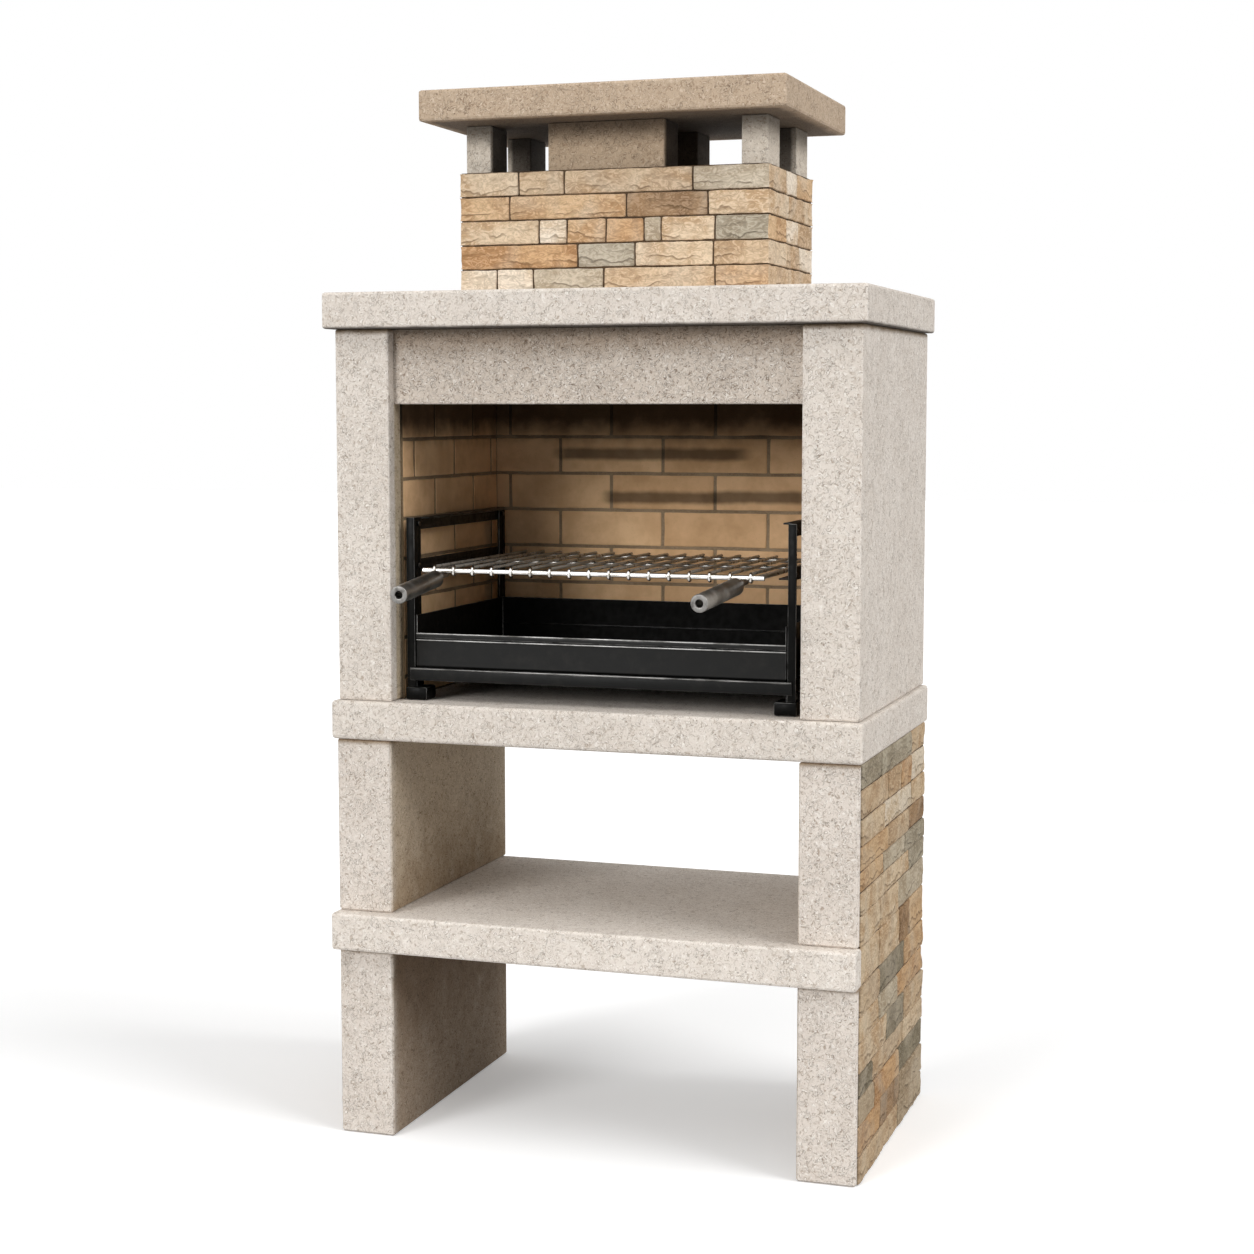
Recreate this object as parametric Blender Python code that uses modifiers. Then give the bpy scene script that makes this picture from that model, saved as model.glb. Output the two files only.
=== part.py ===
"""Outdoor masonry barbecue, in metres, +Z up.

Precast concrete legs, shelf, worktop, firebox and mantel, faced with split stone at the sides,
a brick-lined firebox, a stone chimney under a raised cap, and a loose steel frame that carries a
charcoal tray and a cooking grate. The front looks along -Y. The origin is on the floor, at the
middle of the bounding box.
"""
import math

import bmesh
import bpy
from mathutils import Matrix, Vector

# Clearances
SEAT = 0.0003
OVERRUN = 0.006
WELD = 0.0006

# Overall masonry. The legs take up what the pieces above and between them leave of the height
HEIGHT = 2.000
LEGS_WIDTH = 1.025
BODY_DEPTH = 0.596
SHELF_THICKNESS = 0.072
WORKTOP_THICKNESS = 0.074
FIREBOX_RISE = 0.706
MANTEL_THICKNESS = 0.068
CAP_GAP = 0.090
CAP_THICKNESS = 0.058

# Legs and their stone facing
LEG_WIDTH = 0.112
LIP_DEPTH = 0.010
FACING_THICKNESS = 0.030
FACING_PROUD = 0.004
STONE_RELIEF = 0.0045
STONE_STEP = 0.0011
STONE_JOINT = 0.0030
STONE_TAPER = 0.0018
STONE_SINK = 0.0020

# Slabs
SHELF_SIDE_OVERHANG = 0.0035
SHELF_FRONT_OVERHANG = 0.030
WORKTOP_SIDE_OVERHANG = 0.0075
WORKTOP_FRONT_OVERHANG = 0.010
MANTEL_SIDE_OVERHANG = 0.0115
MANTEL_FRONT_OVERHANG = 0.022
WORKTOP_EDGE = 0.007
SLAB_EDGE = 0.005
CASTING_EDGE = 0.004

# Firebox
PILLAR_WIDTH = 0.110
PILLAR_SIDE_INSET = 0.0025
PILLAR_FRONT_INSET = 0.006
LINTEL_INSET = 0.024
LINTEL_THICKNESS = 0.0275
LINTEL_DROP = 0.141
LINTEL_BEARING = 0.020
LINING_THICKNESS = 0.020
LINING_PROUD = 0.005
LINING_INSET = 0.052
BACK_WALL_THICKNESS = 0.031

# Brickwork
FIRST_COURSE_RISE = 0.042
BRICK_RISE = 0.076
BACK_BRICK_PITCH = 0.225
BACK_BOND_START = 0.049
SIDE_BRICK_PITCH = 0.198
SIDE_BOND_START = 0.056
BRICK_JOINT = 0.009
BRICK_RELIEF = 0.0035
BRICK_TAPER = 0.0015

# Chimney
CHIMNEY_WIDTH = 0.608
CHIMNEY_DEPTH = 0.330
CHIMNEY_WALL = 0.085
COURSE_RISE = 0.0456
CHIMNEY_RELIEF = 0.0060
CAP_POST_WIDTH = 0.050
CAP_POST_DEPTH = 0.085
CAP_POST_SIDE_INSET = 0.007
CAP_POST_FRONT_INSET = 0.016
CAP_BLOCK_WIDTH = 0.230
CAP_BLOCK_SHIFT = 0.016
CAP_SIDE_OVERHANG = 0.052
CAP_FRONT_OVERHANG = 0.078
CAP_BACK_OVERHANG = 0.058

# Steel frame
STEEL = 0.003
POST_WIDTH = 0.016
POST_DEPTH = 0.033
POST_LINING_GAP = 0.012
FRAME_FRONT_INSET = 0.044
FRAME_BACK_GAP = 0.030
RAIL_LEG = 0.024
GRATE_RAIL_FLANGE = 0.032
FOOT_RISE = 0.039
FOOT_PAD = 0.026
FOOT_WIDTH = 0.044
FOOT_DEPTH = 0.046
FOOT_OVERHANG = 0.003
FOOT_TAB_RISE = 0.036
FOOT_EDGE = 0.004
LOW_RAIL_OVERHANG = 0.007
GRATE_RAIL_RISE = 0.246
TOP_RAIL_RISE = 0.350

# Bolts of the steel frame
BOLT_RADIUS = 0.003
BOLT_HEAD_RADIUS = 0.0055
BOLT_HEAD_RISE = 0.0035
NUT_RISE = 0.0045
BOLT_END = 0.002

# Charcoal tray
TRAY_SIDE_GAP = 0.0025
TRAY_FRONT_INSET = 0.002
TRAY_BACK_GAP = 0.025
TRAY_FRONT_RISE = 0.067
TRAY_WALL_RISE = 0.101
TRAY_SHEET = 0.002
HEM_RISE = 0.010
HEM_PROUD = 0.0015

# Cooking grate
BAR_RADIUS = 0.0047
ROD_RADIUS = 0.003
ROD_COUNT = 17
ROD_MARGIN = 0.0365
GRATE_BEARING = 0.0032
GRATE_BACK_GAP = 0.035
GRATE_FRONT_INSET = 0.008
GRATE_CORNER = 0.012
ROD_TAIL = 0.006

# Handles
HANDLE_RADIUS = 0.016
HANDLE_LENGTH = 0.233
HANDLE_NECK = 0.008
HANDLE_CONE = 0.034
HANDLE_TAIL = 0.022
HANDLE_SPIGOT_RADIUS = 0.005
HANDLE_HOLE_RADIUS = 0.007
HANDLE_HOLE_DEPTH = 0.040
HANDLE_EDGE = 0.0015
HANDLE_TILT = math.radians(4.4)
HANDLE_SPLAY = math.radians(3.2)

# How much of the legs' rise lies under the shelf
LOWER_LEG_SHARE = 0.5227

# Courses of the side facing, from the floor up, as shares of the leg or slab beside them
LOWER_COURSE_SHARES = (0.139, 0.156, 0.143, 0.121, 0.157, 0.134, 0.150)
UPPER_COURSE_SHARES = (0.172, 0.127, 0.115, 0.135, 0.146, 0.161, 0.144)

# Upright joints of each course of the side facing, as shares of its length from the front
FACING_JOINT_SHARES = (
    (0.32, 0.60), (0.32, 0.61), (0.22, 0.60), (0.19, 0.67), (0.40, 0.67), (0.28, 0.57), (0.28, 0.68),
    (0.28, 0.59, 0.76),
    (0.28, 0.57), (0.34, 0.74), (0.33, 0.67), (0.40, 0.72), (0.34, 0.78), (0.40, 0.59, 0.76), (0.28, 0.76),
)

# Upright joints of each chimney course, from the mantel up, as shares of its front and of its side
CHIMNEY_FRONT_JOINT_SHARES = (
    (0.122, 0.243, 0.475, 0.831),
    (0.390, 0.576, 0.826),
    (0.263, 0.355, 0.482, 0.605, 0.660, 0.831),
    (0.166, 0.549, 0.809),
    (0.196, 0.347, 0.761),
)
CHIMNEY_SIDE_JOINT_SHARES = ((0.41,), (0.49, 0.79), (0.42,), (0.49,), (0.48, 0.69))

BOLT_PLACE_SHARE = 0.60
HANDLE_PLACE_SHARE = 0.40
CROSS_ROD_SHARE = 0.52
WRAP_START = math.radians(90)
WRAP_END = math.radians(205)
WRAP_STEPS = 5
CORNER_STEPS = 3

# Heights, from the top of the cap down to the legs
CAP_Z = HEIGHT - CAP_THICKNESS
CHIMNEY_TOP_Z = CAP_Z - CAP_GAP
CHIMNEY_COURSES = len(CHIMNEY_FRONT_JOINT_SHARES)
MANTEL_TOP_Z = CHIMNEY_TOP_Z - COURSE_RISE * CHIMNEY_COURSES
MANTEL_Z = MANTEL_TOP_Z - MANTEL_THICKNESS
WORKTOP_TOP_Z = MANTEL_Z - FIREBOX_RISE
WORKTOP_Z = WORKTOP_TOP_Z - WORKTOP_THICKNESS
LEGS_RISE = WORKTOP_Z - SHELF_THICKNESS
LOWER_LEG_RISE = LEGS_RISE * LOWER_LEG_SHARE
UPPER_LEG_RISE = LEGS_RISE - LOWER_LEG_RISE
SHELF_Z = LOWER_LEG_RISE
SHELF_TOP_Z = SHELF_Z + SHELF_THICKNESS

# How far the handles reach ahead of the legs, and where that puts the front of the legs
HANDLE_AHEAD = math.cos(HANDLE_TILT) * math.cos(HANDLE_SPLAY)
HANDLE_END_LIFT = (HANDLE_RADIUS - HANDLE_EDGE) * math.sqrt(1 - HANDLE_AHEAD ** 2)
HANDLE_REACH = HANDLE_LENGTH * HANDLE_AHEAD + HANDLE_END_LIFT - GRATE_FRONT_INSET
FRONT_Y = (HANDLE_REACH - BODY_DEPTH) / 2
BACK_Y = FRONT_Y + BODY_DEPTH

# Widths, as distances from the middle
LEG_OUTER_X = LEGS_WIDTH / 2
LEG_INNER_X = LEG_OUTER_X - LEG_WIDTH
FACING_X = LEG_OUTER_X + FACING_PROUD - FACING_THICKNESS
PILLAR_OUTER_X = LEG_OUTER_X - PILLAR_SIDE_INSET
PILLAR_INNER_X = PILLAR_OUTER_X - PILLAR_WIDTH
LINING_X = PILLAR_INNER_X - LINING_PROUD
LINING_BED_X = LINING_X + LINING_THICKNESS
POST_OUTER_X = LINING_X - POST_LINING_GAP
POST_INNER_X = POST_OUTER_X - POST_WIDTH
RAIL_OUTER_X = POST_INNER_X + STEEL + SEAT + STEEL
RAIL_EDGE_X = RAIL_OUTER_X - RAIL_LEG
GRATE_RAIL_EDGE_X = RAIL_OUTER_X - GRATE_RAIL_FLANGE

# Depths
PILLAR_Y = FRONT_Y + PILLAR_FRONT_INSET
LINTEL_Y = PILLAR_Y + LINTEL_INSET
LINING_Y = PILLAR_Y + LINING_INSET
BACK_WALL_Y = BACK_Y - BACK_WALL_THICKNESS
BACK_LINING_Y = BACK_WALL_Y - SEAT - LINING_THICKNESS
CHIMNEY_Y = FRONT_Y + (BODY_DEPTH - CHIMNEY_DEPTH) / 2
CHIMNEY_BACK_Y = CHIMNEY_Y + CHIMNEY_DEPTH
FRAME_Y = FRONT_Y + FRAME_FRONT_INSET
FRAME_BACK_Y = BACK_LINING_Y - FRAME_BACK_GAP
GRATE_Y = FRONT_Y + GRATE_FRONT_INSET
GRATE_BACK_Y = FRAME_BACK_Y - GRATE_BACK_GAP
TRAY_Y = FRAME_Y + TRAY_FRONT_INSET
TRAY_BACK_Y = FRAME_BACK_Y - TRAY_BACK_GAP

# Heights of the steelwork
LOW_RAIL_Z = WORKTOP_TOP_Z + FOOT_RISE
LOW_RAIL_TOP_Z = LOW_RAIL_Z + RAIL_LEG
GRATE_RAIL_Z = WORKTOP_TOP_Z + GRATE_RAIL_RISE
TOP_RAIL_TOP_Z = WORKTOP_TOP_Z + TOP_RAIL_RISE
TRAY_Z = LOW_RAIL_TOP_Z + SEAT
GRATE_Z = GRATE_RAIL_Z + STEEL + SEAT + BAR_RADIUS
ROD_Z = GRATE_Z + BAR_RADIUS + ROD_RADIUS - WELD

# The grate's side bars rest on the rails' lower legs, and the handles stand between its last rods
GRATE_X = GRATE_RAIL_EDGE_X + GRATE_BEARING
LAST_ROD_X = GRATE_X - ROD_MARGIN
ROD_PITCH = 2 * LAST_ROD_X / (ROD_COUNT - 1)
HANDLE_X = LAST_ROD_X - ROD_PITCH * HANDLE_PLACE_SHARE

SIDES = {"left": -1, "right": 1}
ENDS = {"front": -1, "back": 1}


def new_collection(name):
    """A collection in the scene."""
    collection = bpy.data.collections.new(name)
    bpy.context.scene.collection.children.link(collection)
    return collection


def new_finish(name, colour, roughness, metallic=0):
    """A plain material."""
    finish = bpy.data.materials.new(name)
    finish.use_nodes = True
    shader = finish.node_tree.nodes["Principled BSDF"]
    shader.inputs["Base Color"].default_value = (*colour, 1)
    shader.inputs["Roughness"].default_value = roughness
    shader.inputs["Metallic"].default_value = metallic
    finish.diffuse_color = (*colour, 1)
    return finish


for leftover in list(bpy.data.objects):
    bpy.data.objects.remove(leftover)
PARTS = new_collection("masonry_barbecue")
CUTTERS = new_collection("cutters")
CONCRETE = new_finish("cast_concrete", (0.68, 0.62, 0.54), 0.85)
CAP_CONCRETE = new_finish("cap_concrete", (0.51, 0.41, 0.30), 0.85)
STONE = new_finish("split_stone", (0.50, 0.38, 0.25), 0.9)
BRICK = new_finish("fire_brick", (0.30, 0.20, 0.12), 0.9)
BLACK_STEEL = new_finish("black_steel", (0.02, 0.02, 0.02), 0.45, 0.4)
TRAY_STEEL = new_finish("tray_steel", (0.02, 0.02, 0.02), 0.4, 0.5)
BRIGHT_STEEL = new_finish("bright_steel", (0.55, 0.54, 0.52), 0.25, 1)
HANDLE_STEEL = new_finish("handle_steel", (0.35, 0.34, 0.32), 0.35, 1)


def adopt(thing, name, finish):
    """Names an object, puts it with the parts and gives it its finish."""
    for collection in list(thing.users_collection):
        collection.objects.unlink(thing)
    PARTS.objects.link(thing)
    thing.name = name
    thing.data.materials.clear()
    thing.data.materials.append(finish)
    return thing


def set_aside(thing, name):
    """Makes an object a cutter or a guide, which isn't part of the model."""
    for collection in list(thing.users_collection):
        collection.objects.unlink(thing)
    CUTTERS.objects.link(thing)
    thing.name = name
    thing.hide_render = True
    thing.display_type = "WIRE"
    return thing


def apply_scale(thing):
    """Writes an object's scale into its mesh."""
    thing.data.transform(Matrix.Diagonal((*thing.scale, 1)))
    thing.scale = (1, 1, 1)


def raw_box(low, high):
    """A box between two corners, with its origin at its middle."""
    low, high = Vector(low), Vector(high)
    bpy.ops.mesh.primitive_cube_add(size=1, location=(low + high) / 2)
    box = bpy.context.object
    box.scale = high - low
    apply_scale(box)
    return box


def round_edges(thing, width, steps=1):
    """Rounds the sharp edges of a piece."""
    bevel = thing.modifiers.new("edges", "BEVEL")
    bevel.width = width
    bevel.segments = steps
    bevel.limit_method = "ANGLE"
    bevel.use_clamp_overlap = True


def casting(name, low, high, finish=CONCRETE, edge=CASTING_EDGE, steps=1):
    """A rectangular casting with rounded edges."""
    block = adopt(raw_box(low, high), name, finish)
    round_edges(block, edge, steps)
    return block


def boolean(thing, tool, operation):
    """A live Boolean of a piece with a tool from the cutters."""
    step = thing.modifiers.new(tool.name, "BOOLEAN")
    step.operation = operation
    step.solver = "EXACT"
    step.object = tool


def cut_box(thing, low, high):
    """Cuts a box out of a piece."""
    tool = set_aside(raw_box(low, high), "cut_" + thing.name)
    boolean(thing, tool, "DIFFERENCE")


def add_box(thing, low, high):
    """Joins a box to a piece."""
    tool = set_aside(raw_box(low, high), "add_" + thing.name)
    boolean(thing, tool, "UNION")


def span(side, near, far):
    """The low and high X of something that lies between two distances from the middle."""
    return (near, far) if side > 0 else (-far, -near)


def course_stones(length, levels, joints_of, flip=False):
    """Stones of a faced wall, as (low u, high u, low v, high v, relief step)."""
    stones = []
    for course, (low, high) in enumerate(zip(levels, levels[1:])):
        joints = [0, *joints_of(course), length]
        if flip:
            joints = [length - place for place in reversed(joints)]
        for index, (start, end) in enumerate(zip(joints, joints[1:])):
            stones.append((start, end, low, high, (course * 2 + index * 5) % 3))
    return stones


def relief_mesh(name, origin, outward, stones, relief, step, joint, taper, sink, open_ends=False):
    """One tapered block for each stone, standing out of a wall's face towards outward."""
    outward = Vector(outward)
    up = Vector((0, 0, 1))
    along = up.cross(outward)
    place = Matrix((along, up, outward)).transposed().to_4x4()
    place.translation = Vector(origin)
    mesh = bpy.data.meshes.new(name)
    work = bmesh.new()
    last = max(stone[1] for stone in stones)
    for start, end, low, high, variant in stones:
        rise = relief + step * variant
        first_gap = 0 if open_ends and start == 0 else joint / 2
        last_gap = 0 if open_ends and end == last else joint / 2
        low_corner = Vector((start + first_gap, low + joint / 2, -sink))
        high_corner = Vector((end - last_gap, high - joint / 2, rise))
        size = high_corner - low_corner
        middle = (high_corner + low_corner) / 2
        matrix = Matrix.Translation(middle) @ Matrix.Diagonal((*size, 1))
        made = bmesh.ops.create_cube(work, size=1, matrix=matrix)
        for vertex in made["verts"]:
            if vertex.co.z > middle.z:
                vertex.co.x -= math.copysign(taper, vertex.co.x - middle.x)
                vertex.co.y -= math.copysign(taper, vertex.co.y - middle.y)
    work.transform(place)
    work.to_mesh(mesh)
    work.free()
    wall = bpy.data.objects.new(name, mesh)
    bpy.context.scene.collection.objects.link(wall)
    return set_aside(wall, name)


def stacked(start, rises):
    """The levels of a stack of courses."""
    levels = [start]
    for rise in rises:
        levels.append(levels[-1] + rise)
    return levels


def joints_at(share_table, length):
    """A function that gives the upright joints of each course of a wall of some length."""
    return lambda course: [length * share for share in share_table[course]]


def build_legs():
    """Lower and upper legs, each with a lip at the front and a recess for the stone facing."""
    for level, low_z, high_z in (("lower", 0, SHELF_Z), ("upper", SHELF_TOP_Z + SEAT, WORKTOP_Z)):
        for side_name, side in SIDES.items():
            low_x, high_x = span(side, LEG_INNER_X, LEG_OUTER_X)
            leg = casting(
                f"{level}_leg_{side_name}", (low_x, FRONT_Y, low_z), (high_x, BACK_Y, high_z - SEAT))
            low_x, high_x = span(side, FACING_X - SEAT, LEG_OUTER_X + OVERRUN)
            cut_box(
                leg, (low_x, FRONT_Y + LIP_DEPTH, low_z - OVERRUN),
                (high_x, BACK_Y + OVERRUN, high_z + OVERRUN))


def build_side_facing():
    """Split stone in courses on the outside of each pair of legs and over the shelf's ends."""
    rises = [LOWER_LEG_RISE * share for share in LOWER_COURSE_SHARES]
    rises.append(SHELF_THICKNESS)
    rises += [UPPER_LEG_RISE * share for share in UPPER_COURSE_SHARES]
    levels = stacked(0, rises)
    start_y = FRONT_Y + LIP_DEPTH + SEAT
    length = BACK_Y - start_y
    face_x = LEG_OUTER_X + FACING_PROUD - STONE_RELIEF - STONE_STEP
    for side_name, side in SIDES.items():
        low_x, high_x = span(side, FACING_X, face_x)
        high = (high_x, BACK_Y, WORKTOP_Z - SEAT)
        bed = adopt(raw_box((low_x, start_y, 0), high), f"side_facing_{side_name}", STONE)
        stones = course_stones(length, levels, joints_at(FACING_JOINT_SHARES, length), flip=side < 0)
        origin = (side * face_x, start_y if side > 0 else BACK_Y, 0)
        relief = relief_mesh(
            f"stones_{side_name}", origin, (side, 0, 0), stones,
            STONE_RELIEF, STONE_STEP, STONE_JOINT, STONE_TAPER, STONE_SINK)
        boolean(bed, relief, "UNION")


def build_slabs():
    """Shelf, worktop and mantel. The shelf is cut back behind its nosing for the stone facing."""
    shelf_x = LEG_OUTER_X + SHELF_SIDE_OVERHANG
    shelf = casting(
        "shelf_slab", (-shelf_x, FRONT_Y - SHELF_FRONT_OVERHANG, SHELF_Z), (shelf_x, BACK_Y, SHELF_TOP_Z),
        edge=SLAB_EDGE, steps=2)
    for side in SIDES.values():
        low_x, high_x = span(side, FACING_X - SEAT, shelf_x + OVERRUN)
        cut_box(
            shelf, (low_x, FRONT_Y + LIP_DEPTH, SHELF_Z - OVERRUN),
            (high_x, BACK_Y + OVERRUN, SHELF_TOP_Z + OVERRUN))
    worktop_x = LEG_OUTER_X + WORKTOP_SIDE_OVERHANG
    casting(
        "worktop_slab", (-worktop_x, FRONT_Y - WORKTOP_FRONT_OVERHANG, WORKTOP_Z),
        (worktop_x, BACK_Y, WORKTOP_TOP_Z), edge=WORKTOP_EDGE, steps=3)
    mantel_x = LEG_OUTER_X + MANTEL_SIDE_OVERHANG
    mantel = casting(
        "mantel_slab", (-mantel_x, FRONT_Y - MANTEL_FRONT_OVERHANG, MANTEL_Z),
        (mantel_x, BACK_Y, MANTEL_TOP_Z), edge=SLAB_EDGE, steps=2)
    cut_box(mantel, *flue_box(MANTEL_Z, MANTEL_TOP_Z))


def flue_box(low_z, high_z):
    """The corners of the flue between two heights, run past both."""
    flue_x = CHIMNEY_WIDTH / 2 - CHIMNEY_WALL
    return (
        (-flue_x, CHIMNEY_Y + CHIMNEY_WALL, low_z - OVERRUN),
        (flue_x, CHIMNEY_BACK_Y - CHIMNEY_WALL, high_z + OVERRUN))


def build_firebox():
    """Side walls with a pillar in front, the back wall and the lintel let into the pillars."""
    low_z = WORKTOP_TOP_Z + SEAT
    high_z = MANTEL_Z - SEAT
    lintel_z = MANTEL_Z - LINTEL_DROP
    for side_name, side in SIDES.items():
        low_x, high_x = span(side, PILLAR_INNER_X, PILLAR_OUTER_X)
        wall = casting(
            f"firebox_wall_{side_name}", (low_x, PILLAR_Y, low_z), (high_x, BACK_Y, high_z), steps=2)
        low_x, high_x = span(side, PILLAR_INNER_X - OVERRUN, LINING_BED_X + SEAT)
        cut_box(wall, (low_x, LINING_Y - SEAT, low_z - OVERRUN), (high_x, BACK_Y + OVERRUN, high_z + OVERRUN))
        low_x, high_x = span(side, PILLAR_INNER_X - OVERRUN, PILLAR_INNER_X + LINTEL_BEARING + SEAT)
        pocket_back_y = LINTEL_Y + LINTEL_THICKNESS + SEAT
        cut_box(wall, (low_x, LINTEL_Y - SEAT, lintel_z - SEAT), (high_x, pocket_back_y, high_z + OVERRUN))
    lintel_x = PILLAR_INNER_X + LINTEL_BEARING
    casting(
        "lintel", (-lintel_x, LINTEL_Y, lintel_z), (lintel_x, LINTEL_Y + LINTEL_THICKNESS, high_z),
        edge=STONE_TAPER)
    back_x = LINING_BED_X
    casting("firebox_back", (-back_x, BACK_WALL_Y, low_z), (back_x, BACK_Y, high_z), edge=STONE_TAPER)


def brick_levels():
    """Heights of the bed joints of the lining, from a cut course at the foot to one at the top."""
    levels = [0, FIRST_COURSE_RISE]
    top = FIREBOX_RISE - SEAT - SEAT
    while levels[-1] + BRICK_RISE < top:
        levels.append(levels[-1] + BRICK_RISE)
    levels.append(top)
    return levels


def bond_joints(start, pitch, length, course):
    """Upright joints of a course in running bond."""
    place = start if course % 2 == 0 else start + pitch / 2
    joints = []
    while place < length:
        if place > 0:
            joints.append(place)
        place += pitch
    return joints


def build_lining():
    """Brick slips bedded on the inside of the firebox."""
    low_z = WORKTOP_TOP_Z + SEAT
    high_z = MANTEL_Z - SEAT
    levels = brick_levels()
    side_length = BACK_LINING_Y - SEAT - LINING_Y
    bed_inset = BRICK_RELIEF
    for side_name, side in SIDES.items():
        low_x, high_x = span(side, LINING_X + bed_inset, LINING_BED_X)
        bed = adopt(
            raw_box((low_x, LINING_Y + bed_inset, low_z), (high_x, LINING_Y + side_length, high_z)),
            f"brick_lining_{side_name}", BRICK)
        bricks = course_stones(
            side_length, levels,
            lambda course: bond_joints(SIDE_BOND_START, SIDE_BRICK_PITCH, side_length, course), flip=side > 0)
        origin = (side * (LINING_X + bed_inset), LINING_Y if side < 0 else LINING_Y + side_length, low_z)
        relief = relief_mesh(
            f"bricks_{side_name}", origin, (-side, 0, 0), bricks, BRICK_RELIEF, 0, BRICK_JOINT, BRICK_TAPER,
            LINING_THICKNESS - bed_inset - SEAT, open_ends=True)
        boolean(bed, relief, "UNION")
    back_length = 2 * LINING_BED_X
    low = (-LINING_BED_X, BACK_LINING_Y + bed_inset, low_z)
    high = (LINING_BED_X, BACK_LINING_Y + LINING_THICKNESS, high_z)
    bed = adopt(raw_box(low, high), "brick_lining_back", BRICK)
    bricks = course_stones(
        back_length, levels,
        lambda course: bond_joints(BACK_BOND_START, BACK_BRICK_PITCH, back_length, course + 1))
    relief = relief_mesh(
        "bricks_back", low, (0, -1, 0), bricks, BRICK_RELIEF, 0, BRICK_JOINT, BRICK_TAPER, STONE_SINK)
    boolean(bed, relief, "UNION")


def build_chimney():
    """The hollow chimney block with split stone on its four sides."""
    half = CHIMNEY_WIDTH / 2 - CHIMNEY_RELIEF
    low = (-half, CHIMNEY_Y + CHIMNEY_RELIEF, MANTEL_TOP_Z + SEAT)
    high = (half, CHIMNEY_BACK_Y - CHIMNEY_RELIEF, CHIMNEY_TOP_Z)
    block = adopt(raw_box(low, high), "chimney_block", STONE)
    levels = stacked(0, [COURSE_RISE] * CHIMNEY_COURSES)
    levels[-1] -= SEAT
    width = CHIMNEY_WIDTH
    depth = CHIMNEY_DEPTH - 2 * STONE_TAPER
    for end_name, end in ENDS.items():
        stones = course_stones(
            width, levels, joints_at(CHIMNEY_FRONT_JOINT_SHARES, width), flip=end > 0)
        origin = (end * width / 2, low[1] if end < 0 else high[1], low[2])
        relief = relief_mesh(
            f"chimney_stones_{end_name}", origin, (0, end, 0), stones,
            CHIMNEY_RELIEF, 0, STONE_JOINT, STONE_TAPER, STONE_SINK, open_ends=True)
        boolean(block, relief, "UNION")
    for side_name, side in SIDES.items():
        stones = course_stones(
            depth, levels, joints_at(CHIMNEY_SIDE_JOINT_SHARES, depth), flip=side < 0)
        start_y = CHIMNEY_Y + STONE_TAPER if side > 0 else CHIMNEY_BACK_Y - STONE_TAPER
        origin = (side * half, start_y, low[2])
        relief = relief_mesh(
            f"chimney_stones_{side_name}", origin, (side, 0, 0), stones,
            CHIMNEY_RELIEF, 0, STONE_JOINT, STONE_TAPER, STONE_SINK, open_ends=True)
        boolean(block, relief, "UNION")
    cut_box(block, *flue_box(MANTEL_TOP_Z, CHIMNEY_TOP_Z))


def build_cap():
    """Four corner posts and two blocks on the chimney, and the cap slab on them."""
    low_z = CHIMNEY_TOP_Z + SEAT
    high_z = CAP_Z - SEAT
    outer_x = CHIMNEY_WIDTH / 2 - CAP_POST_SIDE_INSET
    rows = {
        "front": CHIMNEY_Y + CAP_POST_FRONT_INSET,
        "back": CHIMNEY_BACK_Y - CAP_POST_FRONT_INSET - CAP_POST_DEPTH,
    }
    for row, low_y in rows.items():
        high_y = low_y + CAP_POST_DEPTH
        for side_name, side in SIDES.items():
            low_x, high_x = span(side, outer_x - CAP_POST_WIDTH, outer_x)
            casting(
                f"cap_post_{row}_{side_name}", (low_x, low_y, low_z), (high_x, high_y, high_z),
                edge=STONE_TAPER)
        low_x = -CAP_BLOCK_SHIFT - CAP_BLOCK_WIDTH / 2
        high_x = low_x + CAP_BLOCK_WIDTH
        casting(f"cap_block_{row}", (low_x, low_y, low_z), (high_x, high_y, high_z), edge=STONE_TAPER)
    cap_x = CHIMNEY_WIDTH / 2 + CAP_SIDE_OVERHANG
    casting(
        "cap_slab", (-cap_x, CHIMNEY_Y - CAP_FRONT_OVERHANG, CAP_Z),
        (cap_x, CHIMNEY_BACK_Y + CAP_BACK_OVERHANG, HEIGHT), finish=CAP_CONCRETE, edge=SLAB_EDGE, steps=2)


def angle_iron(name, low, high, kept):
    """An angle section: two neighbouring faces of a box, made into plate towards its inside."""
    iron = adopt(raw_box(low, high), name, BLACK_STEEL)
    work = bmesh.new()
    work.from_mesh(iron.data)
    spare = [face for face in work.faces if not any(face.normal.dot(Vector(way)) > 0.5 for way in kept)]
    bmesh.ops.delete(work, geom=spare, context="FACES")
    work.to_mesh(iron.data)
    work.free()
    plate = iron.modifiers.new("plate", "SOLIDIFY")
    plate.thickness = STEEL
    plate.offset = -1
    plate.use_even_offset = True
    return iron


def bolt_hole(thing, place):
    """Drills the hole of a bolt along X."""
    bpy.ops.mesh.primitive_cylinder_add(
        vertices=12, radius=BOLT_RADIUS + SEAT, depth=POST_WIDTH + 2 * OVERRUN, location=place,
        rotation=(0, math.pi / 2, 0))
    boolean(thing, set_aside(bpy.context.object, "hole_" + thing.name), "DIFFERENCE")


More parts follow.
